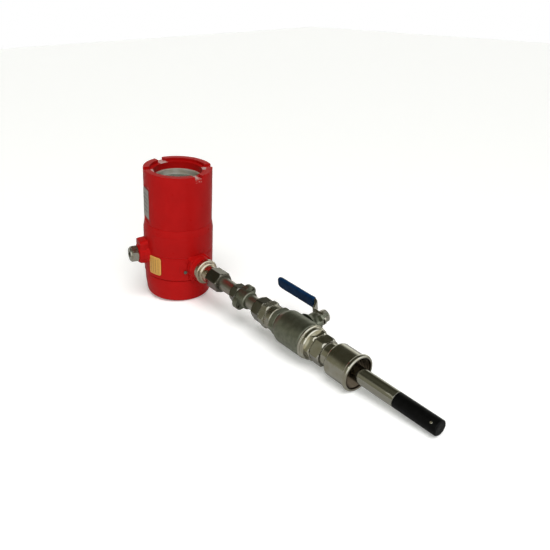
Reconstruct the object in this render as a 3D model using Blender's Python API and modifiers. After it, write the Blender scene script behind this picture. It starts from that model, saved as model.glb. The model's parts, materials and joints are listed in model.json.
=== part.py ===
"""Insertion thermal mass flow meter with a hot-tap ball valve, as one assembly of separate pieces.

Frame: metres, +Z up. The origin is the centre of the flat foot of the housing. The housing stands
along +Z, the probe runs along +X at PROBE_Z, and the conduit entry looks out at CONDUIT_AZIMUTH.
"""
import bpy
import bmesh
from math import atan, cos, pi, radians, sin, sqrt
from mathutils import Matrix

MM = 0.001

# Fits between pieces
GAP = 0.3 * MM
RUNNING = 0.3 * MM
O_RING_SQUEEZE_ROOM = 0.3 * MM

# Housing, measured up from its foot
CAP_HEIGHT = 35.0 * MM
CAP_RADIUS = 48.7 * MM
CAP_FOOT_RADIUS = 41.5 * MM
CAP_FLOOR = 6.0 * MM
CAP_SPIGOT_RADIUS = 41.5 * MM
CAP_SPIGOT_LENGTH = 12.0 * MM
CAP_SPIGOT_WALL = 4.0 * MM
SEAM_WIDTH = 1.6 * MM
SEAM_DEPTH = 2.2 * MM
BODY_RADIUS = 49.8 * MM
BODY_TOP_Z = 112.0 * MM
BODY_GROOVE_Z = 71.0 * MM
BODY_GROOVE_WIDTH = 1.6 * MM
BODY_GROOVE_DEPTH = 1.1 * MM
PARTITION_Z = 82.0 * MM
PARTITION_THICKNESS = 4.0 * MM
WIRE_HOLE_RADIUS = 6.0 * MM
NECK_RADIUS = 45.2 * MM
NECK_HEIGHT = 12.0 * MM
NECK_WALL = 4.0 * MM
O_RING_SECTION = 0.95 * MM
O_RING_GROOVE_DEPTH = 2.2 * MM
O_RING_GROOVE_WIDTH = 2.6 * MM

# Window cover, screwed over the neck of the body
COVER_RADIUS = 48.0 * MM
COVER_TOP_Z = 189.5 * MM
COVER_CHAMFER = 1.2 * MM
COVER_ROOM_RADIUS = 41.5 * MM
COVER_SHOULDER_Z = 150.0 * MM
GLASS_SEAT_Z = 156.0 * MM
GLASS_SEAT_WIDTH = 4.4 * MM
GLASS_RADIUS = 33.6 * MM
GLASS_THICKNESS = 9.7 * MM
GASKET_THICKNESS = 1.7 * MM
RING_HEIGHT = 7.7 * MM
RING_WALL = 3.1 * MM
LUG_HEIGHT = 4.0 * MM
LUG_SETBACK = 5.3 * MM
LUG_SLOT_WIDTH = 12.0 * MM
LUG_SLOT_AZIMUTHS = (3.0, 67.0, 183.0, 247.0)

# Nameplate flat on the cover and label on the body
CONDUIT_AZIMUTH = -104.0
FLAT_DISTANCE = 46.0 * MM
FLAT_BOTTOM_Z = 115.0 * MM
FLAT_HEIGHT = 53.0 * MM
NAMEPLATE_WIDTH = 23.0 * MM
NAMEPLATE_HEIGHT = 43.0 * MM
PLATE_THICKNESS = 0.8 * MM
LABEL_AZIMUTH = -74.5
LABEL_SPAN = 24.0
LABEL_BOTTOM_Z = 41.0 * MM
LABEL_HEIGHT = 28.0 * MM
GROUND_SCREW_AZIMUTH = -22.0
GROUND_SCREW_Z = 50.0 * MM
GROUND_SCREW_RADIUS = 2.6 * MM
GROUND_SCREW_LENGTH = 8.0 * MM
GROUND_SCREW_HEAD = 1.6 * MM

# Conduit entry
CONDUIT_Z = 66.0 * MM
CONDUIT_BOSS_RADIUS = 14.0 * MM
CONDUIT_BOSS_END = 62.0 * MM
CONDUIT_BLOCK_WIDTH = 22.0 * MM
CONDUIT_BLOCK_HEIGHT = 36.0 * MM
CONDUIT_BLOCK_RISE = 4.0 * MM
CONDUIT_BLOCK_END = 60.0 * MM
CONDUIT_THREAD_RADIUS = 9.5 * MM
PLUG_FLATS = 22.0 * MM
PLUG_HEAD = 9.0 * MM
PLUG_NOSE = 2.0 * MM
PLUG_THREAD_LENGTH = 14.0 * MM
PLUG_SOCKET_FLATS = 8.0 * MM
PLUG_SOCKET_DEPTH = 7.0 * MM

# Inside the housing
CHASSIS_RADIUS = 36.0 * MM
CHASSIS_THICKNESS = 2.0 * MM
POST_RADIUS = 3.0 * MM
POST_CIRCLE = 30.0 * MM
LOWER_POST = 14.0 * MM
BOARD_RADIUS = 36.0 * MM
BOARD_THICKNESS = 1.6 * MM
UPPER_POST = 20.0 * MM
DISPLAY_RADIUS = 35.0 * MM
DISPLAY_HEIGHT = 15.0 * MM
DISPLAY_WINDOW = (40.0 * MM, 20.0 * MM)
DISPLAY_WINDOW_DEPTH = 1.5 * MM
TERMINAL_SIZE = (44.0 * MM, 16.0 * MM, 14.0 * MM)
TERMINAL_PITCH = 10.0 * MM
TERMINAL_COUNT = 4

# Probe, stations measured along +X from the housing axis
PROBE_Z = 56.0 * MM
PAD_FACE = 57.0 * MM
PAD_WIDTH = 30.0 * MM
PAD_BOTTOM_Z = 37.6 * MM
PAD_TOP_Z = 72.5 * MM
PORT_BOSS_RADIUS = 16.3 * MM
PORT_BOSS_END = 65.2 * MM
TUBE_RADIUS = 9.5 * MM
TUBE_WALL = 1.5 * MM
TUBE_START = 46.0 * MM
TUBE_END = 427.0 * MM
PORT_RADIUS = 13.0 * MM
COLLAR_RADIUS = 17.5 * MM
COLLAR_LENGTH = 8.0 * MM
FITTING_STEP_RADIUS = 14.3 * MM
FITTING_STEP_LENGTH = 2.6 * MM
FITTING_NECK_RADIUS = 12.7 * MM
FITTING_NECK_END = 87.1 * MM
FITTING_THREAD_RADIUS = 11.0 * MM
FITTING_THREAD_LENGTH = 12.0 * MM
COMPRESSION_NUT_FLATS = 26.6 * MM
COMPRESSION_NUT_LENGTH = 25.0 * MM
COMPRESSION_NUT_ROLL = -10.5
BUSHING_START = 141.0 * MM
BUSHING_LENGTH = 12.4 * MM
BUSHING_FLATS = 24.0 * MM
BUSHING_ROLL = -3.6
CLAMP_START = 153.7 * MM
CLAMP_LENGTH = 17.6 * MM
CLAMP_HUB_RADIUS = 12.5 * MM
CLAMP_EAR_STATION = 158.0 * MM
CLAMP_EAR_RADIUS = 9.6 * MM
CLAMP_EAR_REACH = 9.0 * MM
CLAMP_EAR_THICKNESS = 8.0 * MM
CLAMP_EAR_ROLL = 38.0
CLAMP_HOLE_RADIUS = 1.8 * MM
CLAMP_HOLE_REACH = 15.0 * MM

# Packing gland on the tube, screwed into the valve
GLAND_NUT_START = 191.3 * MM
GLAND_NUT_LENGTH = 15.7 * MM
GLAND_NUT_FLATS = 29.0 * MM
GLAND_NUT_ROLL = -3.0
GLAND_NUT_FLOOR = 5.0 * MM
GLAND_PASSAGE = 1.1 * MM
GLAND_NECK_RADIUS = 12.7 * MM
GLAND_NECK_LENGTH = 10.0 * MM
PACKING_RADIUS = 11.2 * MM
PACKING_DEPTH = 18.0 * MM
PACKING_LENGTH = 9.0 * MM
GLAND_HEX_FLATS = 32.0 * MM
GLAND_HEX_LENGTH = 10.7 * MM
GLAND_COLLAR_RADIUS = 16.3 * MM
GLAND_COLLAR_LENGTH = 11.1 * MM

# Ball valve
VALVE_THREAD_RADIUS = 13.0 * MM
VALVE_THREAD_LENGTH = 14.0 * MM
VALVE_END_FLATS = 33.0 * MM
VALVE_END_LENGTH = 8.6 * MM
VALVE_TAPER_LENGTH = 9.5 * MM
VALVE_RADIUS = 22.2 * MM
VALVE_BORE = 12.7 * MM
VALVE_SEAM = 288.2 * MM
STEM_STATION = 264.0 * MM
STEM_ROLL = 10.0
BALL_RADIUS = 18.0 * MM
BALL_ROOM = 0.6 * MM
STEM_RADIUS = 5.0 * MM
STEM_SHOULDER_RADIUS = 7.0 * MM
STEM_SHOULDER_HEIGHT = 2.0 * MM
STEM_TOP = 50.0 * MM
STEM_POCKET_DEPTH = 2.3 * MM
BONNET_RADIUS = 11.5 * MM
BONNET_TOP = 34.0 * MM
STOP_ARM_LENGTH = 37.0 * MM
STOP_ARM_WIDTH = 8.0 * MM
STOP_ARM_THICKNESS = 4.0 * MM
STOP_SIZE = 4.6 * MM
STOP_RISE = 7.4 * MM
STEM_BOX_RADIUS = 8.0 * MM
STEM_BOX_FLOOR = 26.5 * MM
STEM_PACKING_HEIGHT = 3.6 * MM
PACKING_NUT_FLATS = 17.0 * MM
PACKING_NUT_HEIGHT = 3.8 * MM
END_CAP_LIP_RADIUS = 22.2 * MM
END_CAP_LIP = 2.8 * MM
END_CAP_BEAD_RADIUS = 21.0 * MM
END_CAP_BEAD = 6.3 * MM
END_CAP_FLATS = 33.5 * MM
END_CAP_HEX = 7.3 * MM

# Lever, in the plane of the stem and the probe
LEVER_THICKNESS = 3.0 * MM
LEVER_WIDTH = 14.0 * MM
LEVER_HUB_WIDTH = 17.6 * MM
LEVER_HUB_REACH = 10.5 * MM
LEVER_BEND = 14.0 * MM
LEVER_RISE = 16.5 * MM
LEVER_RUN = 10.0 * MM
LEVER_END = 98.0 * MM
LEVER_NUT_FLATS = 15.0 * MM
LEVER_NUT_HEIGHT = 6.0 * MM
WASHER_RADIUS = 8.0 * MM
WASHER_THICKNESS = 1.2 * MM
GRIP_START = 28.5 * MM
GRIP_END = 101.0 * MM
GRIP_WIDTH = 17.6 * MM
GRIP_THICKNESS = 6.4 * MM

# Nipple, process coupling and sensor head
NIPPLE_FLATS = 32.5 * MM
NIPPLE_HEX = 15.4 * MM
NIPPLE_THREAD = 10.0 * MM
NIPPLE_NECK = 14.2 * MM
CUP_START = 330.4 * MM
CUP_END = 370.2 * MM
CUP_RADIUS = 21.2 * MM
CUP_BEAD_RADIUS = 23.2 * MM
CUP_BEAD_LENGTH = 6.0 * MM
CUP_BACK_RADIUS = 17.8 * MM
CUP_SHOULDER = 4.6 * MM
CUP_THREAD_DEPTH = 12.0 * MM
CUP_MOUTH_RADIUS = 19.0 * MM
CUP_MOUTH_DEPTH = 27.0 * MM
TIP_CAP_RADIUS = 9.5 * MM
TIP_CAP_WALL = 1.6 * MM
TIP_CAP_END = 485.6 * MM
TIP_CAP_FLOOR = 5.0 * MM
TIP_CAP_CHAMFER = 1.2 * MM
HOLDER_INSIDE = 14.0 * MM
HOLDER_NOSE = 9.0 * MM
PIN_RADIUS = 1.6 * MM
PIN_SPACING = 7.0 * MM
PIN_LENGTH = 34.0 * MM
PIN_SEAT_DEPTH = 8.0 * MM
TIP_DOT_STATION = 477.6 * MM
TIP_DOT_ROLL = 138.0
TIP_DOT_RADIUS = 1.6 * MM
TIP_DOT_DEPTH = 1.0 * MM

ROUND_LARGE = 40
ROUND_MEDIUM = 20
ROUND_SMALL = 12

COLOURS = {
    "red_paint": ((0.62, 0.028, 0.03, 1.0), 0.0, 0.38),
    "stainless": ((0.62, 0.60, 0.54, 1.0), 1.0, 0.26),
    "bright_steel": ((0.80, 0.79, 0.76, 1.0), 1.0, 0.16),
    "black_cap": ((0.02, 0.02, 0.022, 1.0), 0.0, 0.35),
    "blue_vinyl": ((0.015, 0.10, 0.28, 1.0), 0.0, 0.42),
    "label_yellow": ((0.80, 0.45, 0.10, 1.0), 0.0, 0.45),
    "seal_rubber": ((0.03, 0.03, 0.03, 1.0), 0.0, 0.7),
    "seal_white": ((0.85, 0.85, 0.82, 1.0), 0.0, 0.5),
    "glass": ((0.75, 0.85, 0.80, 1.0), 0.0, 0.05),
    "board_green": ((0.02, 0.16, 0.07, 1.0), 0.0, 0.5),
    "dark_plastic": ((0.05, 0.05, 0.055, 1.0), 0.0, 0.5),
}


# Scene helpers

def clear_scene():
    """Remove every object that the file opened with."""
    for obj in list(bpy.data.objects):
        bpy.data.objects.remove(obj, do_unlink=True)


def new_collection(name):
    collection = bpy.data.collections.new(name)
    bpy.context.scene.collection.children.link(collection)
    return collection


def make_material(name):
    colour, metallic, roughness = COLOURS[name]
    material = bpy.data.materials.new(name)
    material.use_nodes = True
    shader = material.node_tree.nodes["Principled BSDF"]
    shader.inputs["Base Color"].default_value = colour
    shader.inputs["Metallic"].default_value = metallic
    shader.inputs["Roughness"].default_value = roughness
    return material


clear_scene()
PARTS = new_collection("thermal_mass_flow_meter")
CUTTERS = new_collection("cutters")
MATERIALS = {name: make_material(name) for name in COLOURS}


def make_axis(name, location=(0, 0, 0), rotation=(0, 0, 0), parent=None):
    """Make an empty that pieces are placed by: their stations run along its Z."""
    axis = bpy.data.objects.new(name, None)
    axis.location = location
    axis.rotation_euler = rotation
    axis.parent = parent
    axis.empty_display_size = 20 * MM
    PARTS.objects.link(axis)
    return axis


def add_object(name, mesh, material, axis):
    obj = bpy.data.objects.new(name, mesh)
    obj.parent = axis
    if material:
        mesh.materials.append(MATERIALS[material])
        PARTS.objects.link(obj)
    else:
        obj.hide_render = True
        obj.display_type = "WIRE"
        CUTTERS.objects.link(obj)
    return obj


def turned(name, material, axis, profile, segments=ROUND_MEDIUM):
    """Turn a profile of (radius, station) points about the axis's Z.

    A profile with its first and last radius zero is a full solid, and any other is a closed ring.
    """
    area = sum(r0 * z1 - r1 * z0 for (r0, z0), (r1, z1) in zip(profile, profile[1:] + profile[:1]))
    if area > 0:
        profile = profile[::-1]
    ring = profile[0][0] > 0 or profile[-1][0] > 0
    points = [(radius, 0.0, station) for radius, station in profile]
    edges = [(i, i + 1) for i in range(len(points) - 1)]
    if ring:
        edges.append((len(points) - 1, 0))
    mesh = bpy.data.meshes.new(name)
    mesh.from_pydata(points, edges, [])
    obj = add_object(name, mesh, material, axis)
    screw = obj.modifiers.new("turn", "SCREW")
    screw.steps = segments
    screw.render_steps = segments
    screw.use_merge_vertices = True
    screw.merge_threshold = 0.000001
    return obj


def box(name, material, axis, size, centre, turn=0.0, bevel=0.0, lie=False):
    """A box of the given size, turned about the axis's Z; its mesh holds its place."""
    bm = bmesh.new()
    bmesh.ops.create_cube(bm, size=1.0)
    bmesh.ops.scale(bm, vec=size, verts=bm.verts)
    bmesh.ops.translate(bm, vec=centre, verts=bm.verts)
    bmesh.ops.rotate(bm, matrix=Matrix.Rotation(turn, 3, "Z"), verts=bm.verts)
    mesh = bpy.data.meshes.new(name)
    bm.to_mesh(mesh)
    bm.free()
    obj = add_object(name, mesh, material, axis)
    if bevel:
        round_edges(obj, bevel)
    return obj


def rod(name, material, axis, radius, start, end, segments=ROUND_SMALL, offset=(0, 0), tilt=None):
    """A straight round bar along the axis's Z, or along tilt's direction from the origin."""
    bm = bmesh.new()
    bmesh.ops.create_cone(bm, cap_ends=True, segments=segments, radius1=radius, radius2=radius,
                          depth=end - start)
    bmesh.ops.translate(bm, vec=(offset[0], offset[1], (start + end) / 2), verts=bm.verts)
    if tilt:
        bmesh.ops.rotate(bm, matrix=tilt, verts=bm.verts)
    mesh = bpy.data.meshes.new(name)
    bm.to_mesh(mesh)
    bm.free()
    return add_object(name, mesh, material, axis)


def hexagon(name, axis, flats, start, end, roll=0.0):
    """A six-sided cutter bar, used to cut a turned blank down to its flats."""
    return rod(name, None, axis, flats / sqrt(3), start, end, segments=6,
               tilt=Matrix.Rotation(radians(roll), 3, "Z"))


def round_edges(obj, width, segments=2):
    bevel = obj.modifiers.new("round", "BEVEL")
    bevel.width = width
    bevel.segments = segments
    bevel.limit_method = "ANGLE"
    bevel.angle_limit = radians(50)


def combine(obj, other, operation):
    boolean = obj.modifiers.new(operation.lower(), "BOOLEAN")
    boolean.operation = operation
    boolean.solver = "EXACT"
    boolean.object = other
    return obj


def cut(obj, *cutters):
    for cutter in cutters:
        combine(obj, cutter, "DIFFERENCE")
    return obj


def join(obj, *additions):
    for addition in additions:
        combine(obj, addition, "UNION")
    return obj


def hex_piece(name, material, axis, profile, flats, start, end, bore, roll=0.0):
    """A turned blank whose outside is cut to a hexagon between two stations."""
    blank = turned(name, material, axis, profile)
    corner = flats / sqrt(3) + 4 * MM
    sleeve = rod(name + "_cut", None, axis, corner, start, end)
    cut(sleeve, hexagon(name + "_hex", axis, flats, start - MM, end + MM, roll))
    cut(blank, sleeve)
    if bore:
        cut(blank, bore)
    return blank


def bar_profile(steps):
    """A solid of revolution from (radius, start, end) steps given along the axis."""
    points = [(0.0, steps[0][1])]
    for radius, start, end in steps:
        points.append((radius, start))
        points.append((radius, end))
    points.append((0.0, steps[-1][2]))
    return points


def chamfered_hex_steps(flats, start, end):
    """Profile points of a hexagon's blank, its corners chamfered at both ends."""
    corner = flats / sqrt(3)
    face = flats / 2
    rake = (corner - face) * 0.55
    return [(face, start), (corner, start + rake), (corner, end - rake), (face, end)]


def freeze(obj):
    """Apply the modifiers and shade the piece smooth, with its hard edges kept sharp."""
    graph = bpy.context.evaluated_depsgraph_get()
    mesh = bpy.data.meshes.new_from_object(obj.evaluated_get(graph))
    obj.modifiers.clear()
    obj.data = mesh
    mesh.name = obj.name
    mesh.shade_smooth()
    mesh.set_sharp_from_angle(angle=radians(32))


# Axes of the assembly and of its moving pieces

HOUSING = make_axis("housing_frame")
COVER_AXIS = make_axis("cover_axis", (0, 0, BODY_TOP_Z))
CAP_AXIS = make_axis("cap_axis")
CONDUIT_AXIS = make_axis("conduit_axis", (0, 0, CONDUIT_Z), (pi / 2, 0, radians(CONDUIT_AZIMUTH + 90)))
PROBE_AXIS = make_axis("probe_axis", (0, 0, PROBE_Z), (0, pi / 2, 0))
VALVE_AXIS = make_axis("valve_slide_axis", (0, 0, PROBE_Z), (0, pi / 2, 0))
GLAND_AXIS = make_axis("gland_nut_axis", parent=VALVE_AXIS)
TIP_CAP_AXIS = make_axis("tip_cap_axis", parent=PROBE_AXIS)
STEM_AXIS = make_axis("stem_axis", (STEM_STATION, 0, PROBE_Z), (radians(STEM_ROLL - 90), 0, 0))
GROUND_SCREW_AXIS = make_axis("ground_screw_axis", (0, 0, GROUND_SCREW_Z), (0, pi / 2, radians(GROUND_SCREW_AZIMUTH)))

# Places worked out from the sizes above
SEAM_Z = CAP_HEIGHT + GAP
COVER_BOTTOM_Z = BODY_TOP_Z + GAP
COUNTERBORE_RADIUS = GLASS_RADIUS + GAP
LUG_FLOOR_Z = COVER_TOP_Z - LUG_HEIGHT
GASKET_Z = GLASS_SEAT_Z + GAP
GLASS_Z = GASKET_Z + GASKET_THICKNESS + GAP
RING_Z = GLASS_Z + GLASS_THICKNESS + GAP
BORE = TUBE_RADIUS + RUNNING
COMPRESSION_NUT_START = FITTING_NECK_END + GAP
GLAND_BODY_START = GLAND_NUT_START + GLAND_NUT_LENGTH + GAP
VALVE_START = GLAND_BODY_START + GLAND_HEX_LENGTH + GLAND_COLLAR_LENGTH + GAP
CAVITY_RADIUS = BALL_RADIUS + BALL_ROOM
CAVITY_START = STEM_STATION - BALL_RADIUS
CAVITY_END = STEM_STATION + BALL_RADIUS
SPIGOT_START = CAVITY_END + GAP
END_CAP_START = VALVE_SEAM + GAP
END_CAP_END = END_CAP_START + END_CAP_LIP + END_CAP_BEAD + END_CAP_HEX
THREAD_BORE = VALVE_THREAD_RADIUS + RUNNING
NIPPLE_START = END_CAP_END + GAP
LEVER_Z = BONNET_TOP + GAP + PACKING_NUT_HEIGHT + GAP
WASHER_Z = LEVER_Z + LEVER_THICKNESS + GAP
LEVER_NUT_Z = WASHER_Z + WASHER_THICKNESS + GAP
CHASSIS_Z = PARTITION_Z + PARTITION_THICKNESS + GAP
BOARD_Z = CHASSIS_Z + CHASSIS_THICKNESS + LOWER_POST + GAP
DISPLAY_Z = BOARD_Z + BOARD_THICKNESS + UPPER_POST


# Housing

def neck_groove(radius, station):
    """Points of a square O-ring groove on an outside wall, given downward."""
    half = O_RING_GROOVE_WIDTH / 2
    floor = radius - O_RING_GROOVE_DEPTH
    return [(radius, station + half), (floor, station + half), (floor, station - half), (radius, station - half)]


def o_ring(name, axis, radius, station):
    """A round ring that fills a neck groove, clear of the groove's floor and of the wall outside."""
    centre = radius - O_RING_GROOVE_DEPTH + O_RING_SQUEEZE_ROOM + O_RING_SECTION
    section = [(centre + O_RING_SECTION * cos(a), station + O_RING_SECTION * sin(a))
               for a in (pi * i / 3 for i in range(6))]
    return turned(name, "seal_rubber", axis, section, ROUND_LARGE)


CAP_RING_Z = CAP_HEIGHT + CAP_SPIGOT_LENGTH / 2
NECK_RING_Z = BODY_TOP_Z + NECK_HEIGHT * 0.55


def bottom_cap():
    """The threaded bottom cap: a cup with a flat foot and a spigot that screws into the body."""
    bore = CAP_SPIGOT_RADIUS - CAP_SPIGOT_WALL
    top = CAP_HEIGHT + CAP_SPIGOT_LENGTH
    seam = CAP_RADIUS - SEAM_DEPTH
    foot_round = [(CAP_FOOT_RADIUS + 5.0 * MM * sin(a), 5.0 * MM * (1 - cos(a)))
                  for a in (radians(t) for t in (0, 25, 50, 75))]
    profile = [(0, 0)] + foot_round
    profile += [(CAP_RADIUS - 0.4 * MM, 20 * MM), (CAP_RADIUS, 27 * MM), (CAP_RADIUS, CAP_HEIGHT - SEAM_WIDTH)]
    profile += [(seam, CAP_HEIGHT - SEAM_WIDTH), (seam, CAP_HEIGHT), (CAP_SPIGOT_RADIUS, CAP_HEIGHT)]
    profile += neck_groove(CAP_SPIGOT_RADIUS, CAP_RING_Z)[::-1]
    profile += [(CAP_SPIGOT_RADIUS, top), (bore, top), (bore, CAP_FLOOR), (0, CAP_FLOOR)]
    return turned("bottom_cap", "red_paint", CAP_AXIS, profile, ROUND_LARGE)


def housing_body():
    """The cast body: two rooms with a partition, a neck, the probe pad and the conduit boss."""
    lower_bore = CAP_SPIGOT_RADIUS + RUNNING
    upper_bore = NECK_RADIUS - NECK_WALL
    neck_top = BODY_TOP_Z + NECK_HEIGHT
    seam = CAP_RADIUS - SEAM_DEPTH
    groove = BODY_RADIUS - BODY_GROOVE_DEPTH
    half = BODY_GROOVE_WIDTH / 2
    profile = [(upper_bore, neck_top), (NECK_RADIUS, neck_top)] + neck_groove(NECK_RADIUS, NECK_RING_Z)
    profile += [(NECK_RADIUS, BODY_TOP_Z), (BODY_RADIUS - MM, BODY_TOP_Z), (BODY_RADIUS, BODY_TOP_Z - MM)]
    profile += [(BODY_RADIUS, BODY_GROOVE_Z + half), (groove, BODY_GROOVE_Z + half)]
    profile += [(groove, BODY_GROOVE_Z - half), (BODY_RADIUS, BODY_GROOVE_Z - half)]
    profile += [(BODY_RADIUS, SEAM_Z + 1.2 * MM), (seam, SEAM_Z + 1.2 * MM), (seam, SEAM_Z)]
    profile += [(lower_bore, SEAM_Z), (lower_bore, PARTITION_Z), (WIRE_HOLE_RADIUS, PARTITION_Z)]
    profile += [(WIRE_HOLE_RADIUS, CHASSIS_Z - GAP), (upper_bore, CHASSIS_Z - GAP)]
    body = turned("housing_body", "red_paint", HOUSING, profile, ROUND_LARGE)
    return shape_ports(body)


def shape_ports(body):
    """Add the probe pad and the conduit boss outside the body and bore them."""
    inner = CAP_SPIGOT_RADIUS + 3 * MM
    pad = box("probe_pad", None, HOUSING, (PAD_FACE - inner, PAD_WIDTH, PAD_TOP_Z - PAD_BOTTOM_Z),
              ((PAD_FACE + inner) / 2, 0, (PAD_TOP_Z + PAD_BOTTOM_Z) / 2), bevel=2.0 * MM)
    port = turned("port_boss", None, PROBE_AXIS,
                  [(0, inner), (PORT_BOSS_RADIUS, inner), (PORT_BOSS_RADIUS, PORT_BOSS_END - MM),
                   (PORT_BOSS_RADIUS - MM, PORT_BOSS_END), (0, PORT_BOSS_END)], 30)
    boss_length = CONDUIT_BOSS_END - inner
    boss = turned("conduit_boss", None, CONDUIT_AXIS,
                  [(0, inner), (CONDUIT_BOSS_RADIUS, inner), (CONDUIT_BOSS_RADIUS, inner + boss_length - 2 * MM),
                   (CONDUIT_BOSS_RADIUS - 2 * MM, CONDUIT_BOSS_END), (0, CONDUIT_BOSS_END)])
    block = box("conduit_block", None, CONDUIT_AXIS,
                (CONDUIT_BLOCK_WIDTH, CONDUIT_BLOCK_HEIGHT, CONDUIT_BLOCK_END - inner),
                (0, CONDUIT_BLOCK_RISE, (CONDUIT_BLOCK_END + inner) / 2), bevel=2.0 * MM)
    join(body, pad, port, block, boss)
    reach = CAP_SPIGOT_RADIUS - 6 * MM
    probe_bore = rod("probe_bore", None, PROBE_AXIS, PORT_RADIUS + RUNNING, reach, PORT_BOSS_END + 5 * MM, 20)
    conduit_bore = rod("conduit_bore", None, CONDUIT_AXIS, CONDUIT_THREAD_RADIUS + RUNNING, reach,
                       CONDUIT_BOSS_END + 5 * MM, 20)
    screw_hole = rod("ground_screw_hole", None, GROUND_SCREW_AXIS, GROUND_SCREW_RADIUS * 0.7 + RUNNING,
                     BODY_RADIUS - 6.5 * MM, BODY_RADIUS + 5 * MM, 12)
    return cut(body, probe_bore, conduit_bore, screw_hole)


def window_cover():
    """The castellated window cover: a deep cap with a glass seat and four slots for a bar."""
    skirt = NECK_RADIUS + RUNNING
    skirt_top = BODY_TOP_Z + NECK_HEIGHT + 1.5 * MM
    seat_hole = COUNTERBORE_RADIUS - GLASS_SEAT_WIDTH
    lug_inner = COUNTERBORE_RADIUS + LUG_SETBACK
    profile = [(COVER_RADIUS - COVER_CHAMFER, COVER_TOP_Z), (COVER_RADIUS, COVER_TOP_Z - COVER_CHAMFER)]
    profile += [(COVER_RADIUS, COVER_BOTTOM_Z + 0.6 * MM), (COVER_RADIUS - 0.6 * MM, COVER_BOTTOM_Z)]
    profile += [(skirt, COVER_BOTTOM_Z), (skirt, skirt_top), (COVER_ROOM_RADIUS, skirt_top + 2 * MM)]
    profile += [(COVER_ROOM_RADIUS, COVER_SHOULDER_Z), (seat_hole, GLASS_SEAT_Z - 2 * MM), (seat_hole, GLASS_SEAT_Z)]
    profile += [(COUNTERBORE_RADIUS, GLASS_SEAT_Z), (COUNTERBORE_RADIUS, LUG_FLOOR_Z)]
    profile += [(lug_inner, LUG_FLOOR_Z), (lug_inner, COVER_TOP_Z - 0.8 * MM), (lug_inner + 0.8 * MM, COVER_TOP_Z)]
    profile = [(radius, station - BODY_TOP_Z) for radius, station in profile]
    cover = turned("window_cover", "red_paint", COVER_AXIS, profile, ROUND_LARGE)
    for index, azimuth in enumerate(LUG_SLOT_AZIMUTHS):
        slot = box("lug_slot_%d" % (index + 1), None, COVER_AXIS, (30 * MM, LUG_SLOT_WIDTH, 2 * LUG_HEIGHT),
                   (COVER_RADIUS - 5 * MM, 0, COVER_TOP_Z - BODY_TOP_Z), turn=radians(azimuth))
        cut(cover, slot)
    flat = box("nameplate_flat", None, COVER_AXIS, (20 * MM, 60 * MM, FLAT_HEIGHT),
               (FLAT_DISTANCE + 10 * MM, 0, FLAT_BOTTOM_Z + FLAT_HEIGHT / 2 - BODY_TOP_Z), turn=radians(CONDUIT_AZIMUTH))
    return cut(cover, flat)


def window_pieces():
    """Gasket, glass and threaded ring, stacked on the cover's seat."""
    inner = COUNTERBORE_RADIUS - GLASS_SEAT_WIDTH + 0.5 * MM
    low = GASKET_Z - BODY_TOP_Z
    turned("window_gasket", "seal_rubber", COVER_AXIS,
           [(inner, low), (GLASS_RADIUS, low), (GLASS_RADIUS, low + GASKET_THICKNESS), (inner, low + GASKET_THICKNESS)],
           ROUND_MEDIUM)
    low = GLASS_Z - BODY_TOP_Z
    turned("window_glass", "glass", COVER_AXIS,
           [(0, low), (GLASS_RADIUS, low), (GLASS_RADIUS, low + GLASS_THICKNESS), (0, low + GLASS_THICKNESS)],
           ROUND_LARGE)
    low = RING_Z - BODY_TOP_Z
    high = low + RING_HEIGHT
    bore = GLASS_RADIUS - RING_WALL
    turned("window_ring", "bright_steel", COVER_AXIS,
           [(bore, low), (GLASS_RADIUS, low), (GLASS_RADIUS, high), (bore + 1.0 * MM, high), (bore, high - 1.0 * MM)],
           ROUND_LARGE)


def nameplate():
    """The blank plate that lies in the flat of the cover."""
    return box("nameplate", "bright_steel", COVER_AXIS, (PLATE_THICKNESS, NAMEPLATE_WIDTH, NAMEPLATE_HEIGHT),
               (FLAT_DISTANCE + GAP + PLATE_THICKNESS / 2, 0, FLAT_BOTTOM_Z + FLAT_HEIGHT / 2 - BODY_TOP_Z),
               turn=radians(CONDUIT_AZIMUTH))


def label_plate():
    """The label bent round the body between its two grooves."""
    columns = 8
    radius = BODY_RADIUS + GAP
    bm = bmesh.new()
    rows = []
    for z in (LABEL_BOTTOM_Z, LABEL_BOTTOM_Z + LABEL_HEIGHT):
        angles = [radians(LABEL_AZIMUTH + LABEL_SPAN * (i / columns - 0.5)) for i in range(columns + 1)]
        rows.append([bm.verts.new((radius * cos(a), radius * sin(a), z)) for a in angles])
    for i in range(columns):
        bm.faces.new((rows[0][i], rows[0][i + 1], rows[1][i + 1], rows[1][i]))
    mesh = bpy.data.meshes.new("label_plate")
    bm.to_mesh(mesh)
    bm.free()
    obj = add_object("label_plate", mesh, "label_yellow", HOUSING)
    solidify = obj.modifiers.new("wall", "SOLIDIFY")
    solidify.thickness = PLATE_THICKNESS
    solidify.offset = 1.0
    return obj


def ground_screw():
    """A pan-head earthing screw beside the probe pad."""
    head = BODY_RADIUS + GAP
    profile = bar_profile([(GROUND_SCREW_RADIUS * 0.7, head - 6.0 * MM, head),
                           (GROUND_SCREW_RADIUS, head, head + GROUND_SCREW_HEAD)])
    return turned("ground_screw", "bright_steel", GROUND_SCREW_AXIS, profile, 16)


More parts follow.
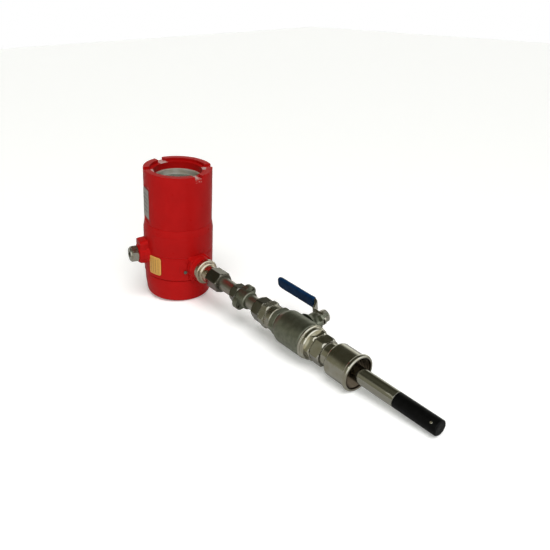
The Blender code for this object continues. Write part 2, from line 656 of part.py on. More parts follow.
def conduit_plug():
    """The hexagon stopping plug of the conduit entry, with a key socket in its end."""
    head = CONDUIT_BOSS_END + GAP
    end = head + PLUG_HEAD
    nose = end + PLUG_NOSE
    corner = PLUG_FLATS / sqrt(3)
    profile = [(0, head - PLUG_THREAD_LENGTH), (CONDUIT_THREAD_RADIUS, head - PLUG_THREAD_LENGTH)]
    profile += [(CONDUIT_THREAD_RADIUS, head), (corner - MM, head), (corner, head + MM), (corner, end - 1.5 * MM)]
    profile += [(PLUG_FLATS / 2 - 1.0 * MM, end), (PLUG_FLATS / 2 - 2.0 * MM, nose), (0, nose)]
    socket = rod("plug_socket", None, CONDUIT_AXIS, PLUG_SOCKET_FLATS / sqrt(3), nose - PLUG_SOCKET_DEPTH,
                 nose + MM, 6)
    return hex_piece("conduit_plug", "stainless", CONDUIT_AXIS, profile, PLUG_FLATS, head - 0.01 * MM,
                     end + 0.01 * MM, socket)


def electronics():
    """Chassis with posts, main board and display inside the cover, and the terminals below."""
    chassis = turned("electronics_chassis", "bright_steel", HOUSING,
                     [(WIRE_HOLE_RADIUS, CHASSIS_Z), (CHASSIS_RADIUS, CHASSIS_Z),
                      (CHASSIS_RADIUS, CHASSIS_Z + CHASSIS_THICKNESS), (WIRE_HOLE_RADIUS, CHASSIS_Z + CHASSIS_THICKNESS)])
    board = turned("main_board", "board_green", HOUSING,
                   [(0, BOARD_Z), (BOARD_RADIUS, BOARD_Z), (BOARD_RADIUS, BOARD_Z + BOARD_THICKNESS),
                    (0, BOARD_Z + BOARD_THICKNESS)])
    for index in range(3):
        angle = 2 * pi * index / 3
        spot = (POST_CIRCLE * cos(angle), POST_CIRCLE * sin(angle))
        stud = POST_RADIUS / 2
        post = rod("post_%d" % (index + 1), None, HOUSING, POST_RADIUS, CHASSIS_Z + MM, BOARD_Z - GAP, 10, spot)
        pin = rod("stud_%d" % (index + 1), None, HOUSING, stud, CHASSIS_Z + MM, DISPLAY_Z - GAP, 10, spot)
        join(chassis, post, pin)
        cut(board, rod("board_hole_%d" % (index + 1), None, HOUSING, stud + GAP, BOARD_Z - MM,
                       BOARD_Z + 2 * BOARD_THICKNESS, 10, spot))
    top = DISPLAY_Z + DISPLAY_HEIGHT
    display = turned("display_module", "dark_plastic", HOUSING,
                     [(0, DISPLAY_Z), (DISPLAY_RADIUS, DISPLAY_Z), (DISPLAY_RADIUS, top - MM), (DISPLAY_RADIUS - MM, top),
                      (0, top)])
    cut(display, box("display_window", None, HOUSING, (*DISPLAY_WINDOW, 2 * DISPLAY_WINDOW_DEPTH), (0, 0, top)))
    length, depth, height = TERMINAL_SIZE
    low = CAP_HEIGHT + CAP_SPIGOT_LENGTH
    ceiling = PARTITION_Z - GAP
    block = box("terminal_block", "dark_plastic", HOUSING, (depth, length, height), (-18 * MM, 0, ceiling - height / 2))
    for index in range(TERMINAL_COUNT):
        place = (index - (TERMINAL_COUNT - 1) / 2) * TERMINAL_PITCH
        cut(block, rod("terminal_hole_%d" % (index + 1), None, HOUSING, 2.0 * MM, low, ceiling - height / 2, 10,
                       (-18 * MM, place)))


# Probe mount, from the pad to the safety clamp

def probe_mount():
    """The fitting screwed into the port boss, its compression nut and the clamp's bushing."""
    face = PORT_BOSS_END + GAP
    collar_end = face + COLLAR_LENGTH
    step_end = collar_end + FITTING_STEP_LENGTH
    thread_end = FITTING_NECK_END + FITTING_THREAD_LENGTH
    turned("port_collar", "bright_steel", PROBE_AXIS,
           [(BORE, TUBE_START), (PORT_RADIUS, TUBE_START), (PORT_RADIUS, face), (COLLAR_RADIUS - 0.8 * MM, face),
            (COLLAR_RADIUS, face + 0.8 * MM), (COLLAR_RADIUS, collar_end - 1.2 * MM),
            (COLLAR_RADIUS - 1.2 * MM, collar_end), (FITTING_STEP_RADIUS, collar_end),
            (FITTING_STEP_RADIUS, step_end - MM), (FITTING_NECK_RADIUS, step_end),
            (FITTING_NECK_RADIUS, FITTING_NECK_END), (FITTING_THREAD_RADIUS, FITTING_NECK_END),
            (FITTING_THREAD_RADIUS, thread_end), (BORE, thread_end)])
    start = COMPRESSION_NUT_START
    nut_end = start + COMPRESSION_NUT_LENGTH
    steps = [(0, start)] + chamfered_hex_steps(COMPRESSION_NUT_FLATS, start, nut_end) + [(0, nut_end)]
    cavity = turned("compression_nut_bore", None, PROBE_AXIS,
                    bar_profile([(FITTING_THREAD_RADIUS + RUNNING, start - MM, thread_end + MM),
                                 (BORE, thread_end + MM, nut_end + MM)]), 20)
    hex_piece("compression_nut", "stainless", PROBE_AXIS, steps, COMPRESSION_NUT_FLATS, start - MM, nut_end + MM,
              cavity, COMPRESSION_NUT_ROLL)
    end = BUSHING_START + BUSHING_LENGTH
    bore = rod("bushing_bore", None, PROBE_AXIS, BORE, BUSHING_START - MM, end + MM, 20)
    steps = [(0, BUSHING_START)] + chamfered_hex_steps(BUSHING_FLATS, BUSHING_START, end) + [(0, end)]
    hex_piece("clamp_bushing", "stainless", PROBE_AXIS, steps, BUSHING_FLATS, BUSHING_START - MM, end + MM, bore,
              BUSHING_ROLL)


def probe_clamp():
    """The safety clamp on the tube: a hub with two round ears, each drilled for a chain."""
    end = CLAMP_START + CLAMP_LENGTH
    clamp = turned("probe_clamp", "stainless", PROBE_AXIS,
                   [(0, CLAMP_START), (CLAMP_HUB_RADIUS - MM, CLAMP_START), (CLAMP_HUB_RADIUS, CLAMP_START + MM),
                    (CLAMP_HUB_RADIUS, end - MM), (CLAMP_HUB_RADIUS - MM, end), (0, end)])
    low, high = CLAMP_EAR_STATION - CLAMP_EAR_THICKNESS / 2, CLAMP_EAR_STATION + CLAMP_EAR_THICKNESS / 2
    for index, roll in enumerate((CLAMP_EAR_ROLL, CLAMP_EAR_ROLL + 180)):
        spot = rolled(CLAMP_EAR_REACH, roll)
        ear = rod("ear_%d" % (index + 1), None, PROBE_AXIS, CLAMP_EAR_RADIUS, low, high, 18, spot)
        join(clamp, ear)
        hole_spot = rolled(CLAMP_HOLE_REACH, roll)
        cut(clamp, rod("ear_hole_%d" % (index + 1), None, PROBE_AXIS, CLAMP_HOLE_RADIUS, low - MM, high + MM, 14,
                       hole_spot))
    return cut(clamp, rod("clamp_bore", None, PROBE_AXIS, BORE, CLAMP_START - MM, end + MM, 20))


def rolled(distance, roll):
    """A place beside the probe axis: roll runs from +Y (0) over the top (90), in degrees."""
    return (-distance * sin(radians(roll)), distance * cos(radians(roll)))


def probe_tube():
    inner = TUBE_RADIUS - TUBE_WALL
    return turned("probe_tube", "stainless", PROBE_AXIS,
                  [(inner, TUBE_START), (TUBE_RADIUS, TUBE_START), (TUBE_RADIUS, TUBE_END - 0.4 * MM),
                   (TUBE_RADIUS - 0.4 * MM, TUBE_END), (inner, TUBE_END)])


# Packing gland, which carries the valve on the tube

def packing_gland():
    """Gland body, packing, follower and the hexagon nut that squeezes them on the tube."""
    nut_end = GLAND_NUT_START + GLAND_NUT_LENGTH
    passage = TUBE_RADIUS + GLAND_PASSAGE
    steps = [(0, GLAND_NUT_START)] + chamfered_hex_steps(GLAND_NUT_FLATS, GLAND_NUT_START, nut_end) + [(0, nut_end)]
    cavity = turned("gland_nut_bore", None, GLAND_AXIS,
                    bar_profile([(passage, GLAND_NUT_START - MM, GLAND_NUT_START + GLAND_NUT_FLOOR),
                                 (GLAND_NECK_RADIUS + RUNNING, GLAND_NUT_START + GLAND_NUT_FLOOR, nut_end + MM)]), 20)
    hex_piece("gland_nut", "stainless", GLAND_AXIS, steps, GLAND_NUT_FLATS, GLAND_NUT_START - MM, nut_end + MM,
              cavity, GLAND_NUT_ROLL)
    neck_start = GLAND_BODY_START - GLAND_NECK_LENGTH
    box_end = neck_start + PACKING_DEPTH
    hex_end = GLAND_BODY_START + GLAND_HEX_LENGTH
    collar_end = hex_end + GLAND_COLLAR_LENGTH
    thread_end = collar_end + VALVE_THREAD_LENGTH
    steps = [(0, neck_start), (GLAND_NECK_RADIUS, neck_start), (GLAND_NECK_RADIUS, GLAND_BODY_START)]
    steps += chamfered_hex_steps(GLAND_HEX_FLATS, GLAND_BODY_START, hex_end)
    steps += [(GLAND_COLLAR_RADIUS - MM, hex_end), (GLAND_COLLAR_RADIUS, hex_end + MM)]
    steps += [(GLAND_COLLAR_RADIUS, collar_end - 1.5 * MM), (GLAND_COLLAR_RADIUS - 1.5 * MM, collar_end)]
    steps += [(VALVE_THREAD_RADIUS, collar_end), (VALVE_THREAD_RADIUS, thread_end), (0, thread_end)]
    bore = turned("gland_body_bore", None, VALVE_AXIS,
                  bar_profile([(PACKING_RADIUS + RUNNING, neck_start - MM, box_end),
                               (passage, box_end, thread_end + MM)]), 20)
    hex_piece("gland_body", "bright_steel", VALVE_AXIS, steps, GLAND_HEX_FLATS, GLAND_BODY_START + 0.01 * MM,
              hex_end - 0.01 * MM, bore)
    packing_start = box_end - GAP - PACKING_LENGTH
    turned("packing_ring", "seal_white", VALVE_AXIS,
           [(BORE, packing_start), (PACKING_RADIUS, packing_start), (PACKING_RADIUS, packing_start + PACKING_LENGTH),
            (BORE, packing_start + PACKING_LENGTH)], 20)
    follower_end = packing_start - GAP
    follower_start = GLAND_NUT_START + GLAND_NUT_FLOOR + GAP
    turned("gland_follower", "stainless", VALVE_AXIS,
           [(BORE, follower_start), (PACKING_RADIUS, follower_start), (PACKING_RADIUS, follower_end),
            (BORE, follower_end)], 20)


# Ball valve

def valve_body():
    """The valve casting: hexagon end, round barrel, bonnet and stop arm, hollow for the ball."""
    hex_end = VALVE_START + VALVE_END_LENGTH
    corner = VALVE_END_FLATS / sqrt(3)
    steps = [(0, VALVE_START), (VALVE_END_FLATS / 2, VALVE_START), (corner, VALVE_START + 1.6 * MM), (corner, hex_end)]
    steps += [(VALVE_RADIUS, hex_end + VALVE_TAPER_LENGTH), (VALVE_RADIUS, VALVE_SEAM - MM)]
    steps += [(VALVE_RADIUS - MM, VALVE_SEAM), (0, VALVE_SEAM)]
    body = hex_piece("valve_body", "stainless", VALVE_AXIS, steps, VALVE_END_FLATS, VALVE_START - MM, hex_end, None)
    bonnet = rod("bonnet", None, STEM_AXIS, BONNET_RADIUS, VALVE_RADIUS - 3.0 * MM, BONNET_TOP, 20)
    arm = box("stop_arm", None, STEM_AXIS, (STOP_ARM_LENGTH, STOP_ARM_WIDTH, STOP_ARM_THICKNESS),
              (0, 0, BONNET_TOP - STOP_ARM_THICKNESS / 2), turn=radians(-45))
    join(body, bonnet, arm)
    reach = LEVER_HUB_WIDTH / 2 + GAP + STOP_SIZE / 2
    for index, (along, across) in enumerate(((-reach, reach), (reach, -reach))):
        join(body, box("stop_%d" % (index + 1), None, STEM_AXIS, (STOP_SIZE, STOP_SIZE, STOP_RISE + MM),
                       (along, across, BONNET_TOP + (STOP_RISE - MM) / 2)))
    room = turned("ball_room", None, VALVE_AXIS,
                  bar_profile([(THREAD_BORE, VALVE_START - MM, VALVE_START + VALVE_THREAD_LENGTH + GAP),
                               (VALVE_BORE, VALVE_START + VALVE_THREAD_LENGTH + GAP, CAVITY_START),
                               (CAVITY_RADIUS, CAVITY_START, VALVE_SEAM + MM)]), ROUND_MEDIUM)
    shoulder_top = CAVITY_RADIUS + 2 * GAP + STEM_SHOULDER_HEIGHT
    stem_room = turned("stem_room", None, STEM_AXIS,
                       bar_profile([(STEM_SHOULDER_RADIUS + RUNNING, BALL_RADIUS - 4 * MM, shoulder_top),
                                    (STEM_RADIUS + RUNNING, shoulder_top, STEM_BOX_FLOOR),
                                    (STEM_BOX_RADIUS + RUNNING, STEM_BOX_FLOOR, BONNET_TOP + MM)]), ROUND_SMALL)
    return cut(body, room, stem_room)


def seat_ring(name, mirror):
    """A ring seat whose face follows the ball at the running gap."""
    reach = BALL_RADIUS + RUNNING
    inner, outer = VALVE_BORE, CAVITY_RADIUS - 2 * MM
    face = [(r, sqrt(reach ** 2 - r ** 2)) for r in (inner + (outer - inner) * i / 4 for i in range(5))]
    back = BALL_RADIUS - GAP
    profile = [(inner, back)] + [(outer, back)] + face[::-1]
    profile = [(r, STEM_STATION + mirror * z) for r, z in profile]
    return turned(name, "seal_white", VALVE_AXIS, profile, ROUND_MEDIUM)


def valve_ball():
    """The bored ball, open in line with the probe, with a pocket for the stem."""
    half = sqrt(BALL_RADIUS ** 2 - VALVE_BORE ** 2)
    rim = atan(half / VALVE_BORE)
    arc = [(BALL_RADIUS * cos(a), BALL_RADIUS * sin(a)) for a in (rim * (1 - i / 5) for i in range(11))]
    ball = turned("valve_ball", "bright_steel", VALVE_AXIS, [(r, STEM_STATION + z) for r, z in arc], ROUND_MEDIUM)
    pocket = rod("stem_pocket", None, STEM_AXIS, STEM_RADIUS + RUNNING, BALL_RADIUS - STEM_POCKET_DEPTH,
                 BALL_RADIUS + MM)
    return cut(ball, pocket)


def valve_stem():
    """The stem: it stands in the ball's pocket, and its shoulder keeps it from blowing out."""
    foot = BALL_RADIUS - STEM_POCKET_DEPTH + GAP
    shoulder = CAVITY_RADIUS + GAP
    return turned("valve_stem", "bright_steel", STEM_AXIS,
                  bar_profile([(STEM_RADIUS, foot, shoulder),
                               (STEM_SHOULDER_RADIUS, shoulder, shoulder + STEM_SHOULDER_HEIGHT),
                               (STEM_RADIUS, shoulder + STEM_SHOULDER_HEIGHT, STEM_TOP)]), ROUND_SMALL)


def stem_pieces():
    """Packing and its nut on the body, and the washer and nut that hold the lever."""
    bore = STEM_RADIUS + RUNNING
    low = STEM_BOX_FLOOR + GAP
    high = low + STEM_PACKING_HEIGHT
    turned("stem_packing", "seal_white", STEM_AXIS,
           [(bore, low), (STEM_BOX_RADIUS, low), (STEM_BOX_RADIUS, high), (bore, high)], ROUND_SMALL)
    base = BONNET_TOP + GAP
    top = base + PACKING_NUT_HEIGHT
    corner = PACKING_NUT_FLATS / sqrt(3)
    steps = [(0, high + GAP), (STEM_BOX_RADIUS, high + GAP), (STEM_BOX_RADIUS, base), (corner, base)]
    steps += [(corner, top - MM), (PACKING_NUT_FLATS / 2, top), (0, top)]
    hole = rod("packing_nut_bore", None, STEM_AXIS, bore, high, top + MM)
    hex_piece("packing_nut", "stainless", STEM_AXIS, steps, PACKING_NUT_FLATS, base - 0.01 * MM, top + MM, hole)
    turned("spring_washer", "bright_steel", STEM_AXIS,
           [(bore, WASHER_Z), (WASHER_RADIUS, WASHER_Z), (WASHER_RADIUS, WASHER_Z + WASHER_THICKNESS),
            (bore, WASHER_Z + WASHER_THICKNESS)], ROUND_SMALL)
    top = LEVER_NUT_Z + LEVER_NUT_HEIGHT
    steps = [(0, LEVER_NUT_Z)] + chamfered_hex_steps(LEVER_NUT_FLATS, LEVER_NUT_Z, top) + [(0, top)]
    hole = rod("lever_nut_bore", None, STEM_AXIS, bore, LEVER_NUT_Z - MM, top + MM)
    hex_piece("lever_nut", "bright_steel", STEM_AXIS, steps, LEVER_NUT_FLATS, LEVER_NUT_Z - MM, top + MM, hole)


def strap_stations():
    """Centre line and half width of the lever from its hub to its free end, as (x, z, half)."""
    stations = []
    hub, end = LEVER_HUB_WIDTH / 2, LEVER_WIDTH / 2
    for t in (0.12, 0.35, 0.65, 1.0):
        stations.append((LEVER_HUB_REACH * (1 - t), 0.0, hub * sqrt(1 - (1 - t) ** 2)))
    stations.append((-LEVER_BEND + 3 * MM, 0.0, hub))
    stations.append((-LEVER_BEND, LEVER_RISE * 0.06, (hub + end) / 2))
    stations.append((-LEVER_BEND - LEVER_RUN, LEVER_RISE * 0.94, end))
    stations.append((-LEVER_BEND - LEVER_RUN - 3 * MM, LEVER_RISE, end))
    for t in (0.0, 0.5, 0.85):
        stations.append((-LEVER_END + 5 * MM * (1 - t), LEVER_RISE, end * sqrt(1 - t ** 2)))
    return stations


def lever():
    """The bent steel strap of the lever, drilled for the stem."""
    bm = bmesh.new()
    middle = LEVER_Z + LEVER_THICKNESS / 2
    rows = [(bm.verts.new((x, -half, middle + z)), bm.verts.new((x, half, middle + z)))
            for x, z, half in strap_stations()]
    for (a, b), (c, d) in zip(rows, rows[1:]):
        bm.faces.new((a, b, d, c))
    mesh = bpy.data.meshes.new("lever")
    bm.to_mesh(mesh)
    bm.free()
    strap = add_object("lever", mesh, "bright_steel", STEM_AXIS)
    solidify = strap.modifiers.new("wall", "SOLIDIFY")
    solidify.thickness = LEVER_THICKNESS
    solidify.offset = 0.0
    solidify.use_even_offset = True
    return cut(strap, rod("lever_hole", None, STEM_AXIS, STEM_RADIUS + RUNNING, LEVER_Z - MM,
                          LEVER_Z + LEVER_THICKNESS + MM))


def lever_grip():
    """The dipped vinyl sleeve over the lever's arm, open toward the bend."""
    middle = LEVER_Z + LEVER_THICKNESS / 2 + LEVER_RISE
    length = GRIP_END - GRIP_START
    grip = box("lever_grip", "blue_vinyl", STEM_AXIS, (length, GRIP_WIDTH, GRIP_THICKNESS),
               (-(GRIP_START + GRIP_END) / 2, 0, middle), bevel=2.2 * MM)
    slit = LEVER_END + GAP
    pocket = box("grip_pocket", None, STEM_AXIS,
                 (slit, LEVER_WIDTH + 2 * GAP, LEVER_THICKNESS + 2 * GAP), (-slit / 2, 0, middle))
    return cut(grip, pocket)


def valve_end_cap():
    """The screwed end of the valve: a spigot inside, a lip and a bead, and a hexagon with the outlet thread."""
    lip_end = END_CAP_START + END_CAP_LIP
    bead_end = lip_end + END_CAP_BEAD
    corner = END_CAP_FLATS / sqrt(3)
    spigot = CAVITY_RADIUS - RUNNING
    steps = [(0, SPIGOT_START), (spigot, SPIGOT_START), (spigot, END_CAP_START)]
    steps += [(END_CAP_LIP_RADIUS - 0.8 * MM, END_CAP_START), (END_CAP_LIP_RADIUS, END_CAP_START + 0.8 * MM)]
    steps += [(END_CAP_LIP_RADIUS, lip_end - 0.6 * MM), (END_CAP_BEAD_RADIUS - 0.6 * MM, lip_end)]
    steps += [(END_CAP_BEAD_RADIUS - 0.6 * MM, lip_end + 0.6 * MM), (END_CAP_BEAD_RADIUS, lip_end + 1.4 * MM)]
    steps += [(END_CAP_BEAD_RADIUS, bead_end - 1.6 * MM), (END_CAP_BEAD_RADIUS - 1.2 * MM, bead_end)]
    steps += [(corner, bead_end), (corner, END_CAP_END - 1.4 * MM), (END_CAP_FLATS / 2, END_CAP_END), (0, END_CAP_END)]
    bore = turned("end_cap_bore", None, VALVE_AXIS,
                  bar_profile([(VALVE_BORE, SPIGOT_START - MM, END_CAP_END - NIPPLE_THREAD - GAP),
                               (THREAD_BORE, END_CAP_END - NIPPLE_THREAD - GAP, END_CAP_END + MM)]), 20)
    return hex_piece("valve_end_cap", "stainless", VALVE_AXIS, steps, END_CAP_FLATS, bead_end, END_CAP_END + MM, bore)


# Process end

def hex_nipple():
    """The hexagon nipple between the valve and the process coupling."""
    hex_end = NIPPLE_START + NIPPLE_HEX
    thread_end = CUP_START + CUP_THREAD_DEPTH - GAP
    steps = [(0, NIPPLE_START - NIPPLE_THREAD), (VALVE_THREAD_RADIUS, NIPPLE_START - NIPPLE_THREAD)]
    steps += [(VALVE_THREAD_RADIUS, NIPPLE_START)] + chamfered_hex_steps(NIPPLE_FLATS, NIPPLE_START, hex_end)
    steps += [(NIPPLE_NECK, hex_end), (NIPPLE_NECK, CUP_START - GAP), (VALVE_THREAD_RADIUS, CUP_START - GAP)]
    steps += [(VALVE_THREAD_RADIUS, thread_end), (0, thread_end)]
    bore = rod("nipple_bore", None, VALVE_AXIS, BORE + MM, NIPPLE_START - NIPPLE_THREAD - MM, thread_end + MM, 20)
    return hex_piece("hex_nipple", "bright_steel", VALVE_AXIS, steps, NIPPLE_FLATS, NIPPLE_START, hex_end, bore)


def process_coupling():
    """The cup-shaped coupling that screws on the pipe: beaded rim, open mouth round the probe."""
    bead = CUP_END - CUP_BEAD_LENGTH
    swell = CUP_START + CUP_SHOULDER
    thread_end = CUP_START + CUP_THREAD_DEPTH
    mouth = CUP_END - CUP_MOUTH_DEPTH
    profile = [(THREAD_BORE, CUP_START), (CUP_BACK_RADIUS - 1.5 * MM, CUP_START), (CUP_BACK_RADIUS, CUP_START + 1.5 * MM)]
    profile += [(CUP_RADIUS - 1.6 * MM, swell - 2.4 * MM), (CUP_RADIUS, swell)]
    profile += [(CUP_RADIUS, bead), (CUP_BEAD_RADIUS - 0.4 * MM, bead + 0.8 * MM), (CUP_BEAD_RADIUS, bead + 2.2 * MM)]
    profile += [(CUP_BEAD_RADIUS, CUP_END - 1.4 * MM), (CUP_BEAD_RADIUS - 1.4 * MM, CUP_END)]
    profile += [(CUP_MOUTH_RADIUS + 0.8 * MM, CUP_END), (CUP_MOUTH_RADIUS, CUP_END - 0.8 * MM)]
    profile += [(CUP_MOUTH_RADIUS, mouth), (BORE + 3 * MM, mouth - 2 * MM), (THREAD_BORE, thread_end)]
    return turned("process_coupling", "bright_steel", VALVE_AXIS, profile, 30)


def sensor_holder():
    """The plug in the end of the tube: it carries both pins and the nose that the cap slides on."""
    start = TUBE_END + GAP
    back = start - HOLDER_INSIDE
    inside = TUBE_RADIUS - TUBE_WALL - RUNNING
    nose = TIP_CAP_RADIUS - TIP_CAP_WALL - RUNNING
    tip = start + HOLDER_NOSE
    holder = turned("sensor_holder", "bright_steel", PROBE_AXIS,
                    [(0, back), (inside, back), (inside, start), (nose, start), (nose, tip - MM), (nose - MM, tip),
                     (0, tip)])
    for index, side in enumerate((-1, 1)):
        cut(holder, rod("pin_hole_%d" % (index + 1), None, PROBE_AXIS, PIN_RADIUS + RUNNING, tip - PIN_SEAT_DEPTH,
                        tip + MM, 12, (0, side * PIN_SPACING / 2)))
    start_of_pins = tip - PIN_SEAT_DEPTH + GAP
    for name, side in (("heated_pin", -1), ("reference_pin", 1)):
        end = start_of_pins + PIN_LENGTH
        profile = [(0, start_of_pins), (PIN_RADIUS, start_of_pins), (PIN_RADIUS, end - PIN_RADIUS)]
        profile += [(PIN_RADIUS * 0.7, end - PIN_RADIUS * 0.3), (0, end)]
        pin = turned(name, "bright_steel", PROBE_AXIS, profile, 10)
        pin.location = (0, side * PIN_SPACING / 2, 0)


def tip_cap():
    """The black push-on cap over the pins, with a shallow bright dot set in its side."""
    start = TUBE_END + 2 * GAP
    inner = TIP_CAP_RADIUS - TIP_CAP_WALL
    floor = TIP_CAP_END - TIP_CAP_FLOOR
    cap = turned("tip_cap", "black_cap", TIP_CAP_AXIS,
                 [(inner, start), (TIP_CAP_RADIUS, start), (TIP_CAP_RADIUS, TIP_CAP_END - TIP_CAP_CHAMFER),
                  (TIP_CAP_RADIUS - TIP_CAP_CHAMFER, TIP_CAP_END), (0, TIP_CAP_END), (0, floor), (inner, floor)], 28)
    place = Matrix.Rotation(radians(TIP_DOT_ROLL), 3, "Z") @ Matrix.Rotation(-pi / 2, 3, "X")
    bottom = TIP_CAP_RADIUS - TIP_DOT_DEPTH
    hole = rod("tip_dot_hole", None, TIP_CAP_AXIS, TIP_DOT_RADIUS + RUNNING, bottom, TIP_CAP_RADIUS + 2 * MM, 14,
               tilt=place)
    slide_out(hole, TIP_DOT_STATION)
    cut(cap, hole)
    dot = rod("tip_dot", "bright_steel", TIP_CAP_AXIS, TIP_DOT_RADIUS, bottom + GAP, TIP_CAP_RADIUS - 0.1 * MM, 14,
              tilt=place)
    slide_out(dot, TIP_DOT_STATION)


def slide_out(obj, station):
    obj.data.transform(Matrix.Translation((0, 0, station)))


def build():
    bottom_cap()
    o_ring("bottom_o_ring", CAP_AXIS, CAP_SPIGOT_RADIUS, CAP_RING_Z)
    housing_body()
    o_ring("cover_o_ring", HOUSING, NECK_RADIUS, NECK_RING_Z)
    window_cover()
    window_pieces()
    nameplate()
    label_plate()
    ground_screw()
    conduit_plug()
    electronics()
    probe_mount()
    probe_clamp()
    probe_tube()
    packing_gland()
    valve_body()
    seat_ring("seat_front", -1)
    seat_ring("seat_rear", 1)
    valve_ball()
    valve_stem()
    stem_pieces()
    lever()
    lever_grip()
    valve_end_cap()
    hex_nipple()
    process_coupling()
    sensor_holder()
    tip_cap()
    for obj in [o for o in PARTS.objects if o.type == "MESH"]:
        freeze(obj)


build()
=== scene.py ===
"""Looks of an insertion thermal mass flow meter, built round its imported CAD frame.

Each piece is a grid of points worked out with numpy. A turned or hexagonal piece is one profile
carried round its axis, and the axes are those of the CAD: the housing's Z, the probe's X, the
conduit entry and the valve stem. All sizes are in metres.
"""

import json
from math import asin, atan2, cos, pi, radians, sin, sqrt

import bmesh
import bpy
import numpy as np
from bpy.props import FloatProperty, FloatVectorProperty
from mathutils import Matrix, Vector


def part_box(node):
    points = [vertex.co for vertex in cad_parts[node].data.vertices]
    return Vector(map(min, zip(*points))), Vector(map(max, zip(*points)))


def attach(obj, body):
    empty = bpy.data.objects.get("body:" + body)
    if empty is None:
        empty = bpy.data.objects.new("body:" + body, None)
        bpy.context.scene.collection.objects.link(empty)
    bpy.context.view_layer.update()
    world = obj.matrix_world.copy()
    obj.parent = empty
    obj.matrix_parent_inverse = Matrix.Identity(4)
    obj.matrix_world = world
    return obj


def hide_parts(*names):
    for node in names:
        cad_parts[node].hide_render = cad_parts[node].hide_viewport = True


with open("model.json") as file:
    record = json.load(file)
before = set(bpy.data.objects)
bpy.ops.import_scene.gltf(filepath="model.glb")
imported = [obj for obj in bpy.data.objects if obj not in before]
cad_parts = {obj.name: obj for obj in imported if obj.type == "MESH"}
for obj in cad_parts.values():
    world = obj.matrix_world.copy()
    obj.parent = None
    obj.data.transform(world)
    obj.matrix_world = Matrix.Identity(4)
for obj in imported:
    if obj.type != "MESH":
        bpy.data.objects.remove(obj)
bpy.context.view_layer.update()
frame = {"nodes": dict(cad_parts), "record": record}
NODES = frame["nodes"]

bl_info = {
    "name": "Insertion Flow Meter Looks",
    "version": (1, 0, 0),
    "blender": (4, 5, 0),
    "location": "View3D > Sidebar > Flow Meter",
    "description": "Surfaces, finishes, light and camera of an insertion thermal mass flow meter",
    "category": "Object",
}

MM = 0.001


def low_high(node, axis):
    """Lowest and highest coordinate of a CAD node along one axis (0, 1 or 2)."""
    low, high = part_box(node)
    return low[axis], high[axis]


# Places taken from the frame
COVER_BOTTOM, COVER_TOP = low_high("window_cover", 2)
COVER_RADIUS = low_high("window_cover", 0)[1]
CAP_RADIUS = low_high("bottom_cap", 0)[1]
PROBE_Z = sum(low_high("probe_tube", 2)) / 2
TUBE_RADIUS = (low_high("probe_tube", 2)[1] - low_high("probe_tube", 2)[0]) / 2
TUBE_START, TUBE_END = low_high("probe_tube", 0)
GLASS_BOTTOM, GLASS_TOP = low_high("window_glass", 2)
GLASS_RADIUS = low_high("window_glass", 0)[1]
RING_TOP = low_high("window_ring", 2)[1]
DISPLAY_TOP = low_high("display_module", 2)[1]
CUP_START, CUP_END = low_high("process_coupling", 0)
CUP_RIM_RADIUS = low_high("process_coupling", 1)[1]
TIP_START, TIP_END = low_high("tip_cap", 0)
TIP_RADIUS = low_high("tip_cap", 1)[1]

# Sizes that the boxes don't show
BODY_RADIUS = 49.8 * MM
BODY_BOTTOM = 35.3 * MM
BODY_TOP = 112.0 * MM
BODY_GROOVE = 71.0 * MM
BODY_TAPER = 101.5 * MM
PORT_BOSS_RADIUS = 16.3 * MM
PORT_BOSS_END = 65.2 * MM
CONDUIT_AZIMUTH = radians(-104.0)
CONDUIT_Z = 66.0 * MM
LUG_SLOTS = (3.0, 67.0, 183.0, 247.0)
LUG_SLOT_WIDTH = 12.0 * MM
LUG_FLOOR = COVER_TOP - 4.0 * MM
LUG_BORE = 39.2 * MM
COVER_BORE = 33.9 * MM
FLAT_DISTANCE = 46.0 * MM
FLAT_BOTTOM = 115.0 * MM
FLAT_TOP = 168.0 * MM
STEM_STATION = 264.0 * MM
STEM_ROLL = radians(10.0)

# How turned pieces are made: points round the axis, width of their rounded edges, and the stations
# between which a hexagon is cut where nothing else is said
TURNED_SIDES = 144
SOFT_EDGE = 0.35 * MM
EVERYWHERE = (-9.0, 9.0)

# Flat-faced pads of the body: azimuth, distance of the face, half width, lowest and highest point
PROBE_PAD = (0.0, 57.0 * MM, 15 * MM, 37.6 * MM, 72.5 * MM)
CONDUIT_PAD = (CONDUIT_AZIMUTH, 60 * MM, 11 * MM, 52.0 * MM, 88.0 * MM)


# Numpy surfaces

def rounded(profile, cut, steps=4):
    """Round every corner of a closed or open profile.

    Each corner gives way to a quadratic curve that leaves one leg and lands on the next at the
    distance cut from the corner, or at 45% of the shorter leg if that is less.
    """
    points = np.asarray(profile, float)
    before = points - np.roll(points, 1, axis=0)
    after = np.roll(points, -1, axis=0) - points
    room = 0.45 * np.minimum(np.linalg.norm(before, axis=1), np.linalg.norm(after, axis=1))
    reach = np.minimum(cut, room)[:, None]
    start = points - before / np.maximum(np.linalg.norm(before, axis=1), 1e-9)[:, None] * reach
    end = points + after / np.maximum(np.linalg.norm(after, axis=1), 1e-9)[:, None] * reach
    t = np.linspace(0, 1, steps)[None, :, None]
    curve = (1 - t) ** 2 * start[:, None] + 2 * t * (1 - t) * points[:, None] + t ** 2 * end[:, None]
    return curve.reshape(-1, 2)


def hexagon_reach(angle, flats, middle):
    """Distance from the axis to a hexagon's side: half the flats over the cosine off its middle."""
    off_middle = (angle - middle + pi / 6) % (pi / 3) - pi / 6
    return flats / 2 / np.cos(off_middle)


